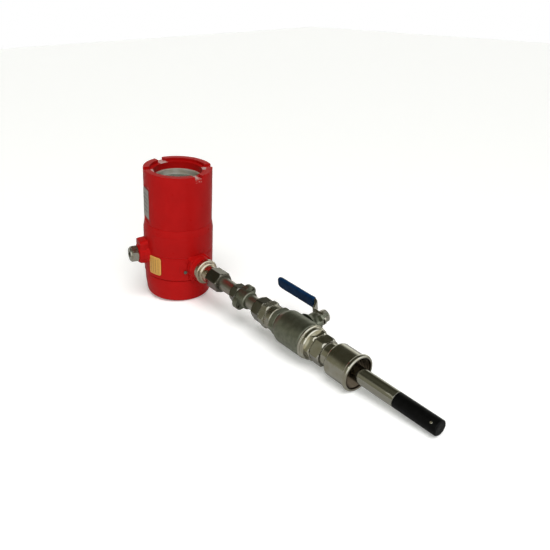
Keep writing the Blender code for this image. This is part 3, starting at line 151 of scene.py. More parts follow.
def bar(profile, sides=TURNED_SIDES, flats=None, soft=SOFT_EDGE, turn=0.0, between=EVERYWHERE, socket=None):
    """Grid of a closed profile of (radius, station) carried round Z, with a hexagon cut on it.

    At each angle the radius is the smaller of the profile's own and the hexagon's, between two
    stations. A socket is a hexagonal hole: radii up to its own shrink in a hexagon's proportion.
    """
    outline = rounded(profile, soft)
    angle = np.arange(sides) * 2 * pi / sides
    radius = np.repeat(outline[:, :1], sides, axis=1)
    station = np.repeat(outline[:, 1:], sides, axis=1)
    if flats:
        hexagonal = np.minimum(radius, hexagon_reach(angle, flats, turn)[None, :])
        radius = np.where((station > between[0]) & (station < between[1]), hexagonal, radius)
    if socket:
        shape = hexagon_reach(angle, sqrt(3), turn)[None, :]
        radius = np.where(radius <= socket, radius * shape, radius)
    return np.stack((radius * np.cos(angle), radius * np.sin(angle), station), axis=-1)


def outline_mm(*pairs):
    """A profile from pairs of radius and station in millimetres."""
    return [(radius * MM, station * MM) for radius, station in pairs]


def strip(stations, thickness, corner_power=7.0, sides=40):
    """Grid of a bar with a rounded oblong section carried along a bent line in the XZ plane.

    Each station is (x, z, half width, share of thickness). The section is a superellipse, whose
    points are the signed powers of cosine and sine, and it stands square to the line.
    """
    line = np.asarray(stations, float)
    along = np.gradient(line[:, :2], axis=0)
    along /= np.maximum(np.linalg.norm(along, axis=1), 1e-9)[:, None]
    angle = (np.arange(sides) + 0.5) * 2 * pi / sides
    wide = np.sign(np.cos(angle)) * np.abs(np.cos(angle)) ** (2 / corner_power)
    thick = np.sign(np.sin(angle)) * np.abs(np.sin(angle)) ** (2 / corner_power)
    up = thick[None, :] * line[:, 3:4] * thickness / 2
    x = line[:, :1] - up * along[:, 1:2]
    z = line[:, 1:2] + up * along[:, :1]
    return np.stack((x, wide[None, :] * line[:, 2:3], z), axis=-1)


def smooth_line(points, steps):
    """A line through rows of numbers, with steps even parts to each leg, eased by a moving mean."""
    rows = np.asarray(points, float)
    at = np.linspace(0, len(rows) - 1, steps * (len(rows) - 1) + 1)
    line = np.stack([np.interp(at, np.arange(len(rows)), column) for column in rows.T], axis=-1)
    for _ in range(steps):
        line[1:-1] = (line[:-2] + 2 * line[1:-1] + line[2:]) / 4
    return line


def keep_numbers(mesh, attribute, values):
    """Keep one number per point in a mesh, as an attribute."""
    layer = mesh.attributes.new(attribute, "FLOAT", "POINT")
    layer.data.foreach_set("value", np.ascontiguousarray(values.reshape(-1), dtype=np.float32))


def closed_mesh(name, grid, matrix=None, across=True, attribute=None, values=None):
    """Mesh of a grid of points closed both ways, with poles merged and faces turned outward.

    Across says whether the last row joins the first. An attribute keeps one number per point.
    """
    rows, columns = grid.shape[:2]
    index = np.arange(rows * columns).reshape(rows, columns)
    right = np.roll(index, -1, axis=1)
    below = np.roll(index, -1, axis=0)
    corner = np.roll(right, -1, axis=0)
    faces = np.stack((index, right, corner, below), axis=-1)
    if not across:
        faces = faces[:-1]
    mesh = bpy.data.meshes.new(name)
    mesh.from_pydata(grid.reshape(-1, 3), [], faces.reshape(-1, 4))
    if matrix:
        mesh.transform(matrix)
    if attribute:
        keep_numbers(mesh, attribute, values)
    work = bmesh.new()
    work.from_mesh(mesh)
    bmesh.ops.remove_doubles(work, verts=work.verts, dist=1e-7)
    bmesh.ops.recalc_face_normals(work, faces=work.faces)
    work.to_mesh(mesh)
    work.free()
    return mesh


PROBE = Matrix.Translation((0, 0, PROBE_Z)) @ Matrix.Rotation(pi / 2, 4, "Y")
STEM = Matrix.Translation((STEM_STATION, 0, PROBE_Z)) @ Matrix.Rotation(STEM_ROLL - pi / 2, 4, "X")
CONDUIT = (Matrix.Translation((0, 0, CONDUIT_Z)) @ Matrix.Rotation(CONDUIT_AZIMUTH + pi / 2, 4, "Z")
           @ Matrix.Rotation(pi / 2, 4, "X"))


def add_piece(name, mesh, material, body, *nodes, smooth=35, slot=None):
    """Show a mesh as a piece that rides a body and stands for CAD nodes."""
    mesh.shade_smooth()
    mesh.set_sharp_from_angle(angle=radians(smooth))
    piece = bpy.data.objects.new(name, mesh)
    bpy.context.scene.collection.objects.link(piece)
    mesh.materials.append(material)
    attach(piece, body)
    if nodes:
        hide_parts(*nodes)
    return piece


def add_surface(name, grid, material, body, *nodes, place=None, across=True, smooth=35):
    """Show a closed grid as a piece, put in its place by a matrix."""
    return add_piece(name, closed_mesh(name, grid, place, across), material, body, *nodes, smooth=smooth)


def flat_angle(node, matrix, low, high):
    """Angle of the middle of a CAD hexagon's flat, from its farthest corner between two stations."""
    back = np.array(matrix.inverted())
    mesh = NODES[node].data
    points = np.empty(len(mesh.vertices) * 3)
    mesh.vertices.foreach_get("co", points)
    local = points.reshape(-1, 3) @ back[:3, :3].T + back[:3, 3]
    reach = np.hypot(local[:, 0], local[:, 1]) * ((local[:, 2] > low) & (local[:, 2] < high))
    x, y = local[np.argmax(reach), :2]
    return atan2(y, x) + pi / 6


def turned_piece(name, node, profile, material, matrix, flats=None, between=EVERYWHERE, soft=SOFT_EDGE,
                 socket=None):
    """A profile carried round an axis, with the CAD node's hexagon on it, in the node's place."""
    turn = flat_angle(node, matrix, *between) if flats else 0.0
    grid = bar(profile, TURNED_SIDES, flats, soft, turn, between, socket)
    return add_surface(name, grid, material, body_of(node), node, place=matrix)


def merged_copy(node):
    """A CAD node's mesh with its loose triangles joined and its flat faces whole."""
    mesh = NODES[node].data.copy()
    work = bmesh.new()
    work.from_mesh(mesh)
    bmesh.ops.remove_doubles(work, verts=work.verts, dist=2e-6)
    bmesh.ops.dissolve_limit(work, angle_limit=radians(0.6), verts=work.verts, edges=work.edges)
    work.to_mesh(mesh)
    work.free()
    mesh.materials.clear()
    return mesh


def soften(piece, width, angle=38):
    """Round a piece's edges that turn by more than an angle."""
    bevel = piece.modifiers.new("soft_edges", "BEVEL")
    bevel.width = width
    bevel.segments = 3
    bevel.limit_method = "ANGLE"
    bevel.angle_limit = radians(angle)
    bevel.use_clamp_overlap = True
    return piece


def body_of(node):
    """The body that a CAD node belongs to."""
    for body, nodes in frame["record"]["behaviour"]["bodies"].items():
        if node in nodes:
            return body
    raise ValueError("no body holds " + node)


def dress(node, material, width):
    """Stand a merged, softened copy of a CAD node in for it."""
    soften(add_piece(node + "_finish", merged_copy(node), material, body_of(node), node), width)


def finish_node(node, material):
    """Give a CAD node that keeps its own mesh a finish."""
    data = NODES[node].data
    data.materials.clear()
    data.materials.append(material)


# Finishes

WORN_METAL = (0.46, 0.31, 0.29)
# Thread compound and painted shade: the dark brown inside the pipe coupling
COMPOUND_AND_PAINTED_SHADE = (0.10, 0.080, 0.055)
LABEL_BORDER = (0.66, 0.33, 0.070)
LABEL_FIELD = (0.50, 0.265, 0.045)
LABEL_OUTLINE = (0.10, 0.022, 0.008)


def shade(colour, share, added=0.0):
    """A colour made darker or lighter, held to 1 at most."""
    return tuple(min(1, c * share + added) for c in colour)


def tinted(colour, *shares):
    """A colour with each of its three numbers times its own share."""
    return tuple(c * share for c, share in zip(colour, shares))


class NodeTree:
    """The nodes of a material or a world, with short ways to add and join them."""

    def __init__(self, owner):
        owner.use_nodes = True
        self.nodes = owner.node_tree.nodes
        self.links = owner.node_tree.links

    def join(self, source, socket):
        """Link an output to an input."""
        self.links.new(source, socket)

    def ramp(self, value, low, high, low_out=0.0, high_out=1.0):
        """Map a value from between low and high to between two outputs."""
        node = self.nodes.new("ShaderNodeMapRange")
        sockets = ("From Min", "From Max", "To Min", "To Max")
        for socket, number in zip(sockets, (low, high, low_out, high_out)):
            node.inputs[socket].default_value = number
        self.join(value, node.inputs["Value"])
        return node.outputs["Result"]

    def math(self, operation, first, second):
        """Work out one number from two, each a socket or a number."""
        node = self.nodes.new("ShaderNodeMath")
        node.operation = operation
        for socket, value in zip(node.inputs, (first, second)):
            if isinstance(value, (int, float)):
                socket.default_value = value
            else:
                self.join(value, socket)
        return node.outputs[0]

    def blend(self, factor, first, second):
        """Mix two colours, each a socket or three numbers."""
        node = self.nodes.new("ShaderNodeMix")
        node.data_type = "RGBA"
        self.join(factor, node.inputs["Factor"])
        for socket, value in ((node.inputs["A"], first), (node.inputs["B"], second)):
            if isinstance(value, tuple):
                socket.default_value = (*value, 1)
            else:
                self.join(value, socket)
        return node.outputs["Result"]


class Finish(NodeTree):
    """A material in the making: its shader and the patterns on it."""

    def __init__(self, name, colour, metallic=0.0, roughness=0.4):
        self.material = bpy.data.materials.new(name)
        super().__init__(self.material)
        self.shader = self.nodes["Principled BSDF"]
        self.shader.inputs["Base Color"].default_value = (*colour, 1)
        self.put("Metallic", metallic)
        self.put("Roughness", roughness)
        self.place = self.nodes.new("ShaderNodeTexCoord").outputs["Object"]
        self.relief = None

    def put(self, socket, number):
        """Set a number on one of the shader's own sockets."""
        self.shader.inputs[socket].default_value = number

    def noise(self, size, detail=3.0, stretch=None):
        """Noise whose features are about size across, drawn out along the axes in stretch."""
        place = self.place
        if stretch:
            mapping = self.nodes.new("ShaderNodeMapping")
            mapping.inputs["Scale"].default_value = stretch
            self.join(self.place, mapping.inputs["Vector"])
            place = mapping.outputs["Vector"]
        texture = self.nodes.new("ShaderNodeTexNoise")
        texture.inputs["Scale"].default_value = 1 / size
        texture.inputs["Detail"].default_value = detail
        self.join(place, texture.inputs["Vector"])
        return texture.outputs["Fac"]

    def spread(self, noise, low, high):
        """Map the bulk of a noise, which lies between 0.3 and 0.7, to between two numbers."""
        return self.ramp(noise, 0.3, 0.7, low, high)

    def marked(self, attribute):
        """The number that the mesh keeps at each point under an attribute's name."""
        node = self.nodes.new("ShaderNodeAttribute")
        node.attribute_name = attribute
        return node.outputs["Fac"]

    def along(self, axis):
        """One of the three coordinates: X, Y or Z."""
        node = self.nodes.new("ShaderNodeSeparateXYZ")
        self.join(self.place, node.inputs["Vector"])
        return node.outputs[axis]

    def off_probe(self):
        """Distance from the probe's axis: the root of the squares of Y and of Z above the axis."""
        side = self.math("POWER", self.along("Y"), 2)
        up = self.math("POWER", self.math("SUBTRACT", self.along("Z"), PROBE_Z), 2)
        return self.math("SQRT", self.math("ADD", side, up), 0)

    def colour(self, source):
        """Let a socket give the colour."""
        self.join(source, self.shader.inputs["Base Color"])

    def roughness(self, source):
        """Let a socket give the roughness."""
        self.join(source, self.shader.inputs["Roughness"])

    def bump(self, height, depth):
        """Add relief: depth is how far apart height 0 and height 1 stand."""
        node = self.nodes.new("ShaderNodeBump")
        node.inputs["Distance"].default_value = depth
        node.inputs["Strength"].default_value = 1.0
        self.join(height, node.inputs["Height"])
        if self.relief:
            self.join(self.relief, node.inputs["Normal"])
        self.relief = node.outputs["Normal"]
        self.join(self.relief, self.shader.inputs["Normal"])


def enamel(colour):
    """Satin enamel over a casting: slight orange peel, soft mottling, and bare metal where worn."""
    finish = Finish("red_enamel", colour, roughness=0.33)
    mottle = finish.ramp(finish.noise(22 * MM, 4), 0.35, 0.65)
    paint = finish.blend(mottle, shade(colour, 0.95), shade(colour, 1.03))
    fray = finish.spread(finish.noise(1.5 * MM, 4), -0.55, 0.25)
    ragged = finish.math("ADD", finish.marked("worn"), fray)
    finish.colour(finish.blend(finish.ramp(ragged, 0.42, 0.52), paint, WORN_METAL))
    finish.roughness(finish.spread(finish.noise(6 * MM, 5), 0.27, 0.40))
    finish.bump(finish.noise(2.4 * MM, 2), 0.07 * MM)
    finish.bump(finish.noise(0.6 * MM, 3), 0.02 * MM)
    finish.put("Specular IOR Level", 0.06)
    finish.put("Coat Weight", 0.015)
    finish.put("Coat Roughness", 0.12)
    return finish.material


def turned_steel(name, colour, axis, roughness):
    """Machined stainless steel: fine rings round the axis, streaked gloss and a warm stain."""
    finish = Finish(name, colour, 1.0, roughness[0])
    along = [0.05, 0.05, 0.05]
    along[axis] = 1.0
    rings = finish.noise(0.28 * MM, 3, tuple(along))
    stain = finish.ramp(finish.noise(9 * MM, 4), 0.38, 0.68)
    finish.colour(finish.blend(stain, colour, tinted(colour, 0.85, 0.85 * 0.96, 0.85 * 0.86)))
    uneven = finish.spread(finish.noise(4 * MM, 4), roughness[0], roughness[1])
    finish.roughness(finish.math("ADD", uneven, finish.spread(rings, -0.03, 0.05)))
    finish.bump(rings, 0.012 * MM)
    return finish


def drawn_tube(colour):
    """Ground and drawn tube: fine lines along it, a satin gloss, duller between the fittings."""
    finish = Finish("drawn_tube_steel", colour, 1.0, 0.16)
    lines = finish.noise(0.35 * MM, 3, (0.02, 1, 1))
    patches = finish.ramp(finish.noise(26 * MM, 3, (0.35, 1, 1)), 0.4, 0.7)
    finish.colour(finish.blend(patches, colour, shade(colour, 0.86)))
    handled = finish.math("ADD", finish.ramp(finish.along("X"), 0.20, 0.30, 0.20, 0.0),
                          finish.ramp(finish.noise(9 * MM, 5, (0.5, 1, 1)), 0.5, 0.75, 0.0, 0.06))
    finish.roughness(finish.math("ADD", finish.spread(lines, 0.13, 0.20), handled))
    finish.bump(lines, 0.004 * MM)
    return finish.material


def coupling_steel(colour):
    """Turned steel of the pipe coupling, with thread compound and painted shade darkening the inside of the
    cup.
    """
    finish = turned_steel("coupling_steel", colour, 0, (0.13, 0.22))
    outside = finish.shader.inputs["Base Color"].links[0].from_socket
    # Painted shade with thread compound: the cup goes dark brown within 20.5 mm of the probe's axis
    inside = finish.ramp(finish.off_probe(), 20.5 * MM, 19.9 * MM)
    finish.colour(finish.blend(inside, outside, COMPOUND_AND_PAINTED_SHADE))
    return finish.material


def pale_metal(colour):
    """The window ring's dull, pale metal, turned like the steel."""
    finish = turned_steel("pale_ring_metal", colour, 2, (0.30, 0.42))
    finish.put("Metallic", 0.45)
    return finish.material


def cast_steel(colour):
    """Investment cast stainless steel after blasting: grey-olive, matt and finely pitted."""
    finish = Finish("cast_steel", colour, 1.0, 0.45)
    patches = finish.ramp(finish.noise(7 * MM, 5), 0.35, 0.68)
    finish.colour(finish.blend(patches, colour, shade(colour, 0.72)))
    finish.roughness(finish.spread(finish.noise(1.2 * MM, 4), 0.36, 0.55))
    finish.bump(finish.noise(1.1 * MM, 5), 0.10 * MM)
    finish.bump(finish.noise(0.35 * MM, 3), 0.04 * MM)
    return finish.material


def vinyl(colour):
    """Dipped vinyl: soft gloss with shallow runs and a faint bloom."""
    finish = Finish("blue_vinyl", colour, roughness=0.36)
    bloom = finish.ramp(finish.noise(8 * MM, 3), 0.4, 0.7)
    finish.colour(finish.blend(bloom, colour, shade(colour, 1.35, 0.004)))
    finish.roughness(finish.spread(finish.noise(3 * MM, 4), 0.28, 0.46))
    finish.bump(finish.noise(5 * MM, 2), 0.16 * MM)
    finish.bump(finish.noise(0.7 * MM, 3), 0.03 * MM)
    finish.put("Specular IOR Level", 0.06)
    return finish.material


def moulded(name, colour, roughness, grain=0.5 * MM, depth=0.03 * MM):
    """Moulded plastic or rubber with a fine grain and handling marks in its gloss."""
    finish = Finish(name, colour, roughness=roughness)
    pale = tuple(c * 1.4 + 0.0006 for c in colour)
    finish.colour(finish.blend(finish.ramp(finish.noise(6 * MM, 5), 0.45, 0.75), colour, pale))
    finish.roughness(finish.spread(finish.noise(2.5 * MM, 5), roughness * 0.75, roughness * 1.3))
    finish.bump(finish.noise(grain, 4), depth)
    finish.put("Specular IOR Level", 0.10)
    return finish.material


def window_glass():
    """Thick toughened glass with a green body, a dusty bloom and a few faint smears."""
    finish = Finish("window_glass_clear", (0.66, 0.72, 0.64), roughness=0.03)
    finish.roughness(finish.ramp(finish.noise(14 * MM, 4), 0.45, 0.7, 0.02, 0.10))
    finish.put("Transmission Weight", 0.86)
    finish.put("IOR", 1.5)
    return finish.material


def yellow_label():
    """A blank printed label: a dark outline, a pale border and a golden field with upright bars.

    Its print attribute is 0 on the field, up to 0.5 on a bar, 1 on the border and 2 on the outline.
    """
    finish = Finish("yellow_label", LABEL_FIELD, roughness=0.42)
    wear = finish.noise(1.6 * MM, 4)
    marks = finish.marked("print")
    bars = finish.math("MULTIPLY", finish.ramp(marks, 0.0, 0.5), finish.ramp(wear, 0.25, 0.6))
    field = finish.blend(bars, LABEL_FIELD, shade(LABEL_FIELD, 0.55))
    bordered = finish.blend(finish.ramp(marks, 0.6, 1.0), field, LABEL_BORDER)
    finish.colour(finish.blend(finish.ramp(marks, 1.2, 1.8), bordered, LABEL_OUTLINE))
    finish.roughness(finish.spread(wear, 0.34, 0.5))
    finish.bump(wear, 0.02 * MM)
    return finish.material


def plate_metal():
    """The blank nameplate: brushed metal with generic grey fields."""
    finish = Finish("nameplate_metal", (0.31, 0.29, 0.26), 0.6, 0.34)
    brushed = finish.noise(0.5 * MM, 3, (1, 1, 0.04))
    bare = finish.blend(finish.spread(brushed, 0.0, 1.0), (0.28, 0.26, 0.23), (0.36, 0.34, 0.31))
    finish.colour(finish.blend(finish.marked("field"), bare, (0.17, 0.16, 0.15)))
    finish.roughness(finish.spread(brushed, 0.28, 0.42))
    finish.bump(brushed, 0.01 * MM)
    return finish.material


def display_face():
    """The display: a dark bezel round a grey-green screen."""
    finish = Finish("display_face", (0.10, 0.115, 0.10), roughness=0.25)
    screen = finish.blend(finish.noise(9 * MM, 2), (0.20, 0.235, 0.18), (0.27, 0.31, 0.24))
    finish.colour(finish.blend(finish.marked("screen"), (0.06, 0.065, 0.06), screen))
    finish.bump(finish.noise(0.8 * MM, 2), 0.01 * MM)
    return finish.material


def pale_floor(colour):
    """Matt white table top with the faintest unevenness, dimmer where metal mirrors it."""
    finish = Finish("pale_floor", colour, roughness=0.6)
    mirrored = finish.nodes.new("ShaderNodeLightPath").outputs["Is Glossy Ray"]
    seen = finish.blend(finish.noise(0.2, 2), shade(colour, 0.985), colour)
    finish.colour(finish.blend(mirrored, seen, shade(colour, 0.46)))
    finish.shader.inputs["Emission Color"].default_value = (0.97, 1, 1, 1)
    finish.join(finish.ramp(mirrored, 0, 1, 0.18, 0.0), finish.shader.inputs["Emission Strength"])
    return finish.material


MATERIALS = {}


def make_finishes(settings):
    """Make every finish once, by name. The letter after a name is the axis that it is turned on."""
    steel = tuple(settings.steel_colour)
    bright = shade(steel, 1.12)
    turned = {
        "steel_x": ("steel_along_probe", steel, 0, (0.20, 0.34)),
        "bright_x": ("bright_along_probe", bright, 0, (0.10, 0.20)),
        # Painted shade: a copy of the steel at less than half its brightness, for the nuts, the bushing and
        # the earthing screw
        "painted_shade_x": ("painted_shade_along_probe", shade(steel, 0.46), 0, (0.10, 0.18)),
        "brassy_x": ("warm_along_probe", tinted(steel, 1.36, 1.22, 1.12), 0, (0.16, 0.28)),
        # Painted light: a copy of the steel a third brighter, for glints on the valve's end cap; its low
        # roughness is real polish
        "polished_painted_light_x": ("polished_painted_light_along_probe", shade(steel, 1.3), 0, (0.08, 0.15)),
        "bright_y": ("bright_of_entry", bright, 1, (0.16, 0.28)),
        "steel_y": ("steel_of_stem", steel, 1, (0.22, 0.36)),
        "bright_z": ("bright_of_window", bright, 2, (0.12, 0.24)),
    }
    for key, choices in turned.items():
        MATERIALS[key] = turned_steel(*choices).material
    MATERIALS.update(
        red=enamel(tuple(settings.enamel_colour)),
        blue=vinyl(tuple(settings.grip_colour)),
        floor=pale_floor(tuple(settings.floor_colour)),
        pale_z=pale_metal((0.42, 0.41, 0.36)),
        coupling_x=coupling_steel(bright),
        tube_x=drawn_tube(shade(steel, 0.95)),
        cast=cast_steel(tinted(steel, 0.68, 0.73, 0.66)),
        black=moulded("black_tip_plastic", (0.0016, 0.0016, 0.0016), 0.42, 0.8 * MM, 0.12 * MM),
        rubber=moulded("seal_rubber_black", (0.012, 0.012, 0.012), 0.6),
        white_seal=moulded("white_seal_plastic", (0.78, 0.78, 0.74), 0.4),
        dark_plastic=moulded("dark_plastic", (0.03, 0.03, 0.033), 0.45),
        board=moulded("green_board", (0.012, 0.12, 0.05), 0.35),
        glass=window_glass(),
        label=yellow_label(),
        plate=plate_metal(),
        display=display_face(),
    )


# Housing

def cap_surface():
    """Bottom cap: a cup's outline carried round Z, with a large radius at its foot."""
    wide = CAP_RADIUS / MM
    return bar(outline_mm(
        (0, 0), (41.5, 0), (44.0, 0.7), (45.8, 2.6), (46.4, 5.0), (wide - 0.35, 20), (wide, 27), (wide, 34.2),
        (wide - 0.5, 34.7), (47.6, 34.75), (47.6, 35.0), (41.4, 35.0), (41.4, 47), (37.5, 47), (37.5, 6),
        (0, 6)), 192, soft=0.5 * MM)


def body_surface():
    """Cast body: rings of points round Z, swollen where the probe pad and the conduit block are.

    Off the pads the radius is the profile's. On a pad it is the distance to the pad's flat face,
    and a smooth step of the distance from the pad's outline leads from one to the other.
    """
    groove = BODY_RADIUS - 0.45 * MM
    heights = np.concatenate((np.linspace(BODY_BOTTOM + 0.9 * MM, BODY_TOP - 0.9 * MM, 103),
                              BODY_GROOVE + np.array((-0.9, -0.6, 0.0, 0.6, 0.9)) * MM))
    heights.sort()
    narrowed = np.clip((heights - BODY_TAPER) / (BODY_TOP - BODY_TAPER), 0, 1)
    wall = BODY_RADIUS - (BODY_RADIUS - COVER_RADIUS - 0.1 * MM) * narrowed
    wall = np.where(np.abs(heights - BODY_GROOVE) < 0.7 * MM, groove, wall)
    outer = np.stack((wall, heights), axis=-1)
    wide, foot = BODY_RADIUS / MM, BODY_BOTTOM / MM
    neck, top = COVER_RADIUS / MM, BODY_TOP / MM
    lower = outline_mm((47.6, foot), (47.8, foot + 0.35), (wide - 0.5, foot + 0.4), (wide - 0.1, foot + 0.7))
    crown = outline_mm((neck + 0.1, top - 0.5), (neck, top - 0.15), (neck - 0.3, top), (45.2, top),
                       (45.2, 124), (41.2, 124))
    inside = outline_mm((41.2, 86), (6, 86), (6, 82), (41.8, 82), (41.8, foot))
    profile = np.concatenate((lower, outer, crown, inside))
    angle = np.arange(360) * 2 * pi / 360
    radius = np.repeat(profile[:, :1], 360, axis=1)
    height = np.repeat(profile[:, 1:], 360, axis=1)
    outside = (radius > 46 * MM) & (height > BODY_BOTTOM + 2 * MM) & (height < BODY_TOP - 3 * MM)
    for pad in (PROBE_PAD, CONDUIT_PAD):
        radius = np.maximum(radius, np.where(outside, pad_radius(angle[None, :], height, *pad), 0))
    return np.stack((radius * np.cos(angle), radius * np.sin(angle), height), axis=-1)


def pad_radius(angle, height, azimuth, face, half_width, low, high):
    """Radius of a flat-faced pad on the body, fading to the body's own at its outline."""
    off = (angle - azimuth + pi) % (2 * pi) - pi
    facing = np.cos(off) > 0.7
    side = BODY_RADIUS * np.sin(off)
    corner = 5 * MM
    across = np.abs(side) - (half_width - corner)
    along = np.abs(height - (low + high) / 2) - ((high - low) / 2 - corner)
    beyond = np.sqrt(np.maximum(across, 0) ** 2 + np.maximum(along, 0) ** 2)
    beyond += np.minimum(np.maximum(across, along), 0)
    step = np.clip((corner - beyond) / (2.4 * MM) + 0.15, 0, 1)
    step = step * step * (3 - 2 * step)
    flat = face / np.maximum(np.cos(off), 0.5)
    return np.where(facing & (step > 0), BODY_RADIUS + (flat - BODY_RADIUS) * step, 0)


def cover_surface():
    """Window cover: rings of points round Z, with four parallel slots and one flat.

    Columns crowd at the slots' sides, so that each side is a plane at half a slot's width from a
    radius. The flat is where the radius is held to the flat's distance over the cosine of the
    angle from its middle.
    """
    skirt = COVER_BOTTOM - 0.22 * MM
    profile = [(COVER_RADIUS - 0.15 * MM, skirt), (COVER_RADIUS, skirt + 0.15 * MM)]
    profile += [(COVER_RADIUS, z) for z in np.linspace(COVER_BOTTOM + 0.6 * MM, FLAT_TOP + 3 * MM, 60)]
    profile += [(COVER_RADIUS, LUG_FLOOR), (COVER_RADIUS, COVER_TOP), (LUG_BORE, COVER_TOP)]
    profile += [(LUG_BORE, LUG_FLOOR), (COVER_BORE, LUG_FLOOR), (COVER_BORE, LUG_FLOOR - 0.7 * MM)]
    profile += [(COVER_BORE, GLASS_BOTTOM - 2.0 * MM)]
    profile += [(29.5 * MM, GLASS_BOTTOM - 2.3 * MM), (29.5 * MM, 154 * MM), (41.5 * MM, 150 * MM)]
    profile += [(41.5 * MM, 127 * MM), (45.5 * MM, 125.5 * MM), (45.5 * MM, skirt)]
    profile = np.asarray(profile)
    grid, worn = [], []
    for radius, height in profile:
        half = asin(LUG_SLOT_WIDTH / 2 / max(radius, 20 * MM))
        angle, slotted = slot_columns(half)
        z = np.where(slotted & (height > LUG_FLOOR), LUG_FLOOR, height)
        off = np.cos((angle - CONDUIT_AZIMUTH + pi) % (2 * pi) - pi)
        on_flat = (FLAT_BOTTOM < height < FLAT_TOP) and radius > 47 * MM
        flat = np.minimum(radius, FLAT_DISTANCE / np.maximum(off, 0.5))
        ring = np.where(on_flat & (off > 0.9), flat, radius)
        grid.append(np.stack((ring * np.cos(angle), ring * np.sin(angle), z), axis=-1))
        bare = slotted & (np.abs(z - LUG_FLOOR) < 0.2 * MM) & (radius > COVER_BORE - MM)
        worn.append(np.where(bare, 0.85 if radius < LUG_BORE + MM else 0.5, 0.0))
    return np.asarray(grid), np.asarray(worn)


def slot_columns(half):
    """Angles of the cover's columns for one half angle of slot, and which lie in a slot."""
    angles, inside = [], []
    starts = [radians(a) for a in LUG_SLOTS]
    for start, following in zip(starts, starts[1:] + [starts[0] + 2 * pi]):
        slot = np.linspace(start - half, start + half, 9)
        lug = np.linspace(start + half, following - half, 44)
        angles += [slot, lug]
        inside += [np.ones(9, bool), np.zeros(44, bool)]
    return np.concatenate(angles), np.concatenate(inside)


def rounded_plate(width, height, corner, columns, rows):
    """Grid of a thin plate with rounded corners, flattened out.

    A row ends at the outline: half the width less the corner, plus what the corner's circle leaves
    at that height. Given are the place across and up, the distance from the edge, and how far the
    face stands proud, which falls off as a root at the edge.
    """
    uu, vv = np.meshgrid(np.linspace(-1, 1, columns), np.linspace(-1, 1, rows))
    past = np.maximum(np.abs(vv) * height / 2 - (height / 2 - corner), 0)
    limit = width / 2 - corner + np.sqrt(np.maximum(corner ** 2 - past ** 2, 0))
    side, up = uu * limit, vv * height / 2
    edge = np.minimum(limit - np.abs(side), height / 2 - np.abs(up))
    proud = 0.3 * MM + 0.75 * MM * np.clip(edge / (0.4 * MM), 0, 1) ** 0.5
    return side, up, edge, proud


def label_surface():
    """The label: a thin plate with rounded corners bent round the body, and its print numbers."""
    low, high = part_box("label_plate")
    middle = atan2((low.y + high.y) / 2, (low.x + high.x) / 2)
    side, up, edge, proud = rounded_plate(21.5 * MM, high.z - low.z, 4.0 * MM, 41, 49)
    border = np.clip(1 - (edge - 1.5 * MM) / (0.35 * MM), 0, 1)
    bars = 0.5 * (np.cos(side / (4.4 * MM) * 2 * pi + 1.0) < -0.1) * (np.abs(up) < 10.5 * MM)
    marks = np.where(border > 0, border, bars) + np.clip(1 - (edge - 0.35 * MM) / (0.2 * MM), 0, 1)
    radius = BODY_RADIUS + proud
    angle = middle + side / BODY_RADIUS
    height = (low.z + high.z) / 2 + up
    return np.stack((radius * np.cos(angle), radius * np.sin(angle), height), axis=-1), marks


def open_sheet(name, points, attribute, values):
    """Mesh of an open grid, with one number per point kept as an attribute."""
    rows, columns = points.shape[:2]
    index = np.arange(rows * columns).reshape(rows, columns)
    faces = np.stack((index[:-1, :-1], index[:-1, 1:], index[1:, 1:], index[1:, :-1]), axis=-1)
    mesh = bpy.data.meshes.new(name)
    mesh.from_pydata(points.reshape(-1, 3), [], faces.reshape(-1, 4))
    keep_numbers(mesh, attribute, values)
    return mesh


def nameplate_surface():
    """The nameplate: a flat rounded plate on the cover's flat, with generic fields marked."""
    low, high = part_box("nameplate")
    side, up, _, proud = rounded_plate(22.6 * MM, high.z - low.z, 2.0 * MM, 61, 97)
    rows = np.abs(((up + 2 * MM) / (6 * MM)) % 1 - 0.5) < 0.22
    field = (rows & (np.abs(side) < 8.5 * MM) & (np.abs(up) < 15 * MM)).astype(float)
    out = FLAT_DISTANCE + proud
    c, s = cos(CONDUIT_AZIMUTH), sin(CONDUIT_AZIMUTH)
    points = np.stack((out * c - side * s, out * s + side * c, (low.z + high.z) / 2 + up), axis=-1)
    return points, field


class FLOWMETER_OT_housing(bpy.types.Operator):
    """Body, window cover and bottom cap in red enamel"""
    bl_idname = "flowmeter.housing"
    bl_label = "Housing"

    def execute(self, context):
        red = MATERIALS["red"]
        add_surface("bottom_cap_casting", cap_surface(), red, "cap", "bottom_cap")
        add_surface("body_casting", body_surface(), red, "housing", "housing_body", smooth=50)
        boss = outline_mm((0, 44), (17.5, 44), (16.2, 49.5), (14.4, 52), (14, 54), (14, 60), (12, 62),
                          (9.8, 62), (9.8, 47), (0, 47))
        add_surface("conduit_boss_casting", bar(boss, soft=0.8 * MM), red, "housing", place=CONDUIT)
        wide, end = PORT_BOSS_RADIUS / MM, PORT_BOSS_END / MM
        port = outline_mm((13.4, 50), (wide + 1.4, 50), (wide + 1.0, 57.4), (wide, 58.4), (wide, end - 0.8),
                          (wide - 0.8, end), (13.4, end))
        add_surface("port_boss_casting", bar(port, soft=0.6 * MM), red, "housing", place=PROBE)
        grid, worn = cover_surface()
        mesh = closed_mesh("cover_casting", grid, attribute="worn", values=worn)
        soften(add_piece("cover_casting", mesh, red, "cover", "window_cover"), 0.5 * MM, 40)
        return {"FINISHED"}


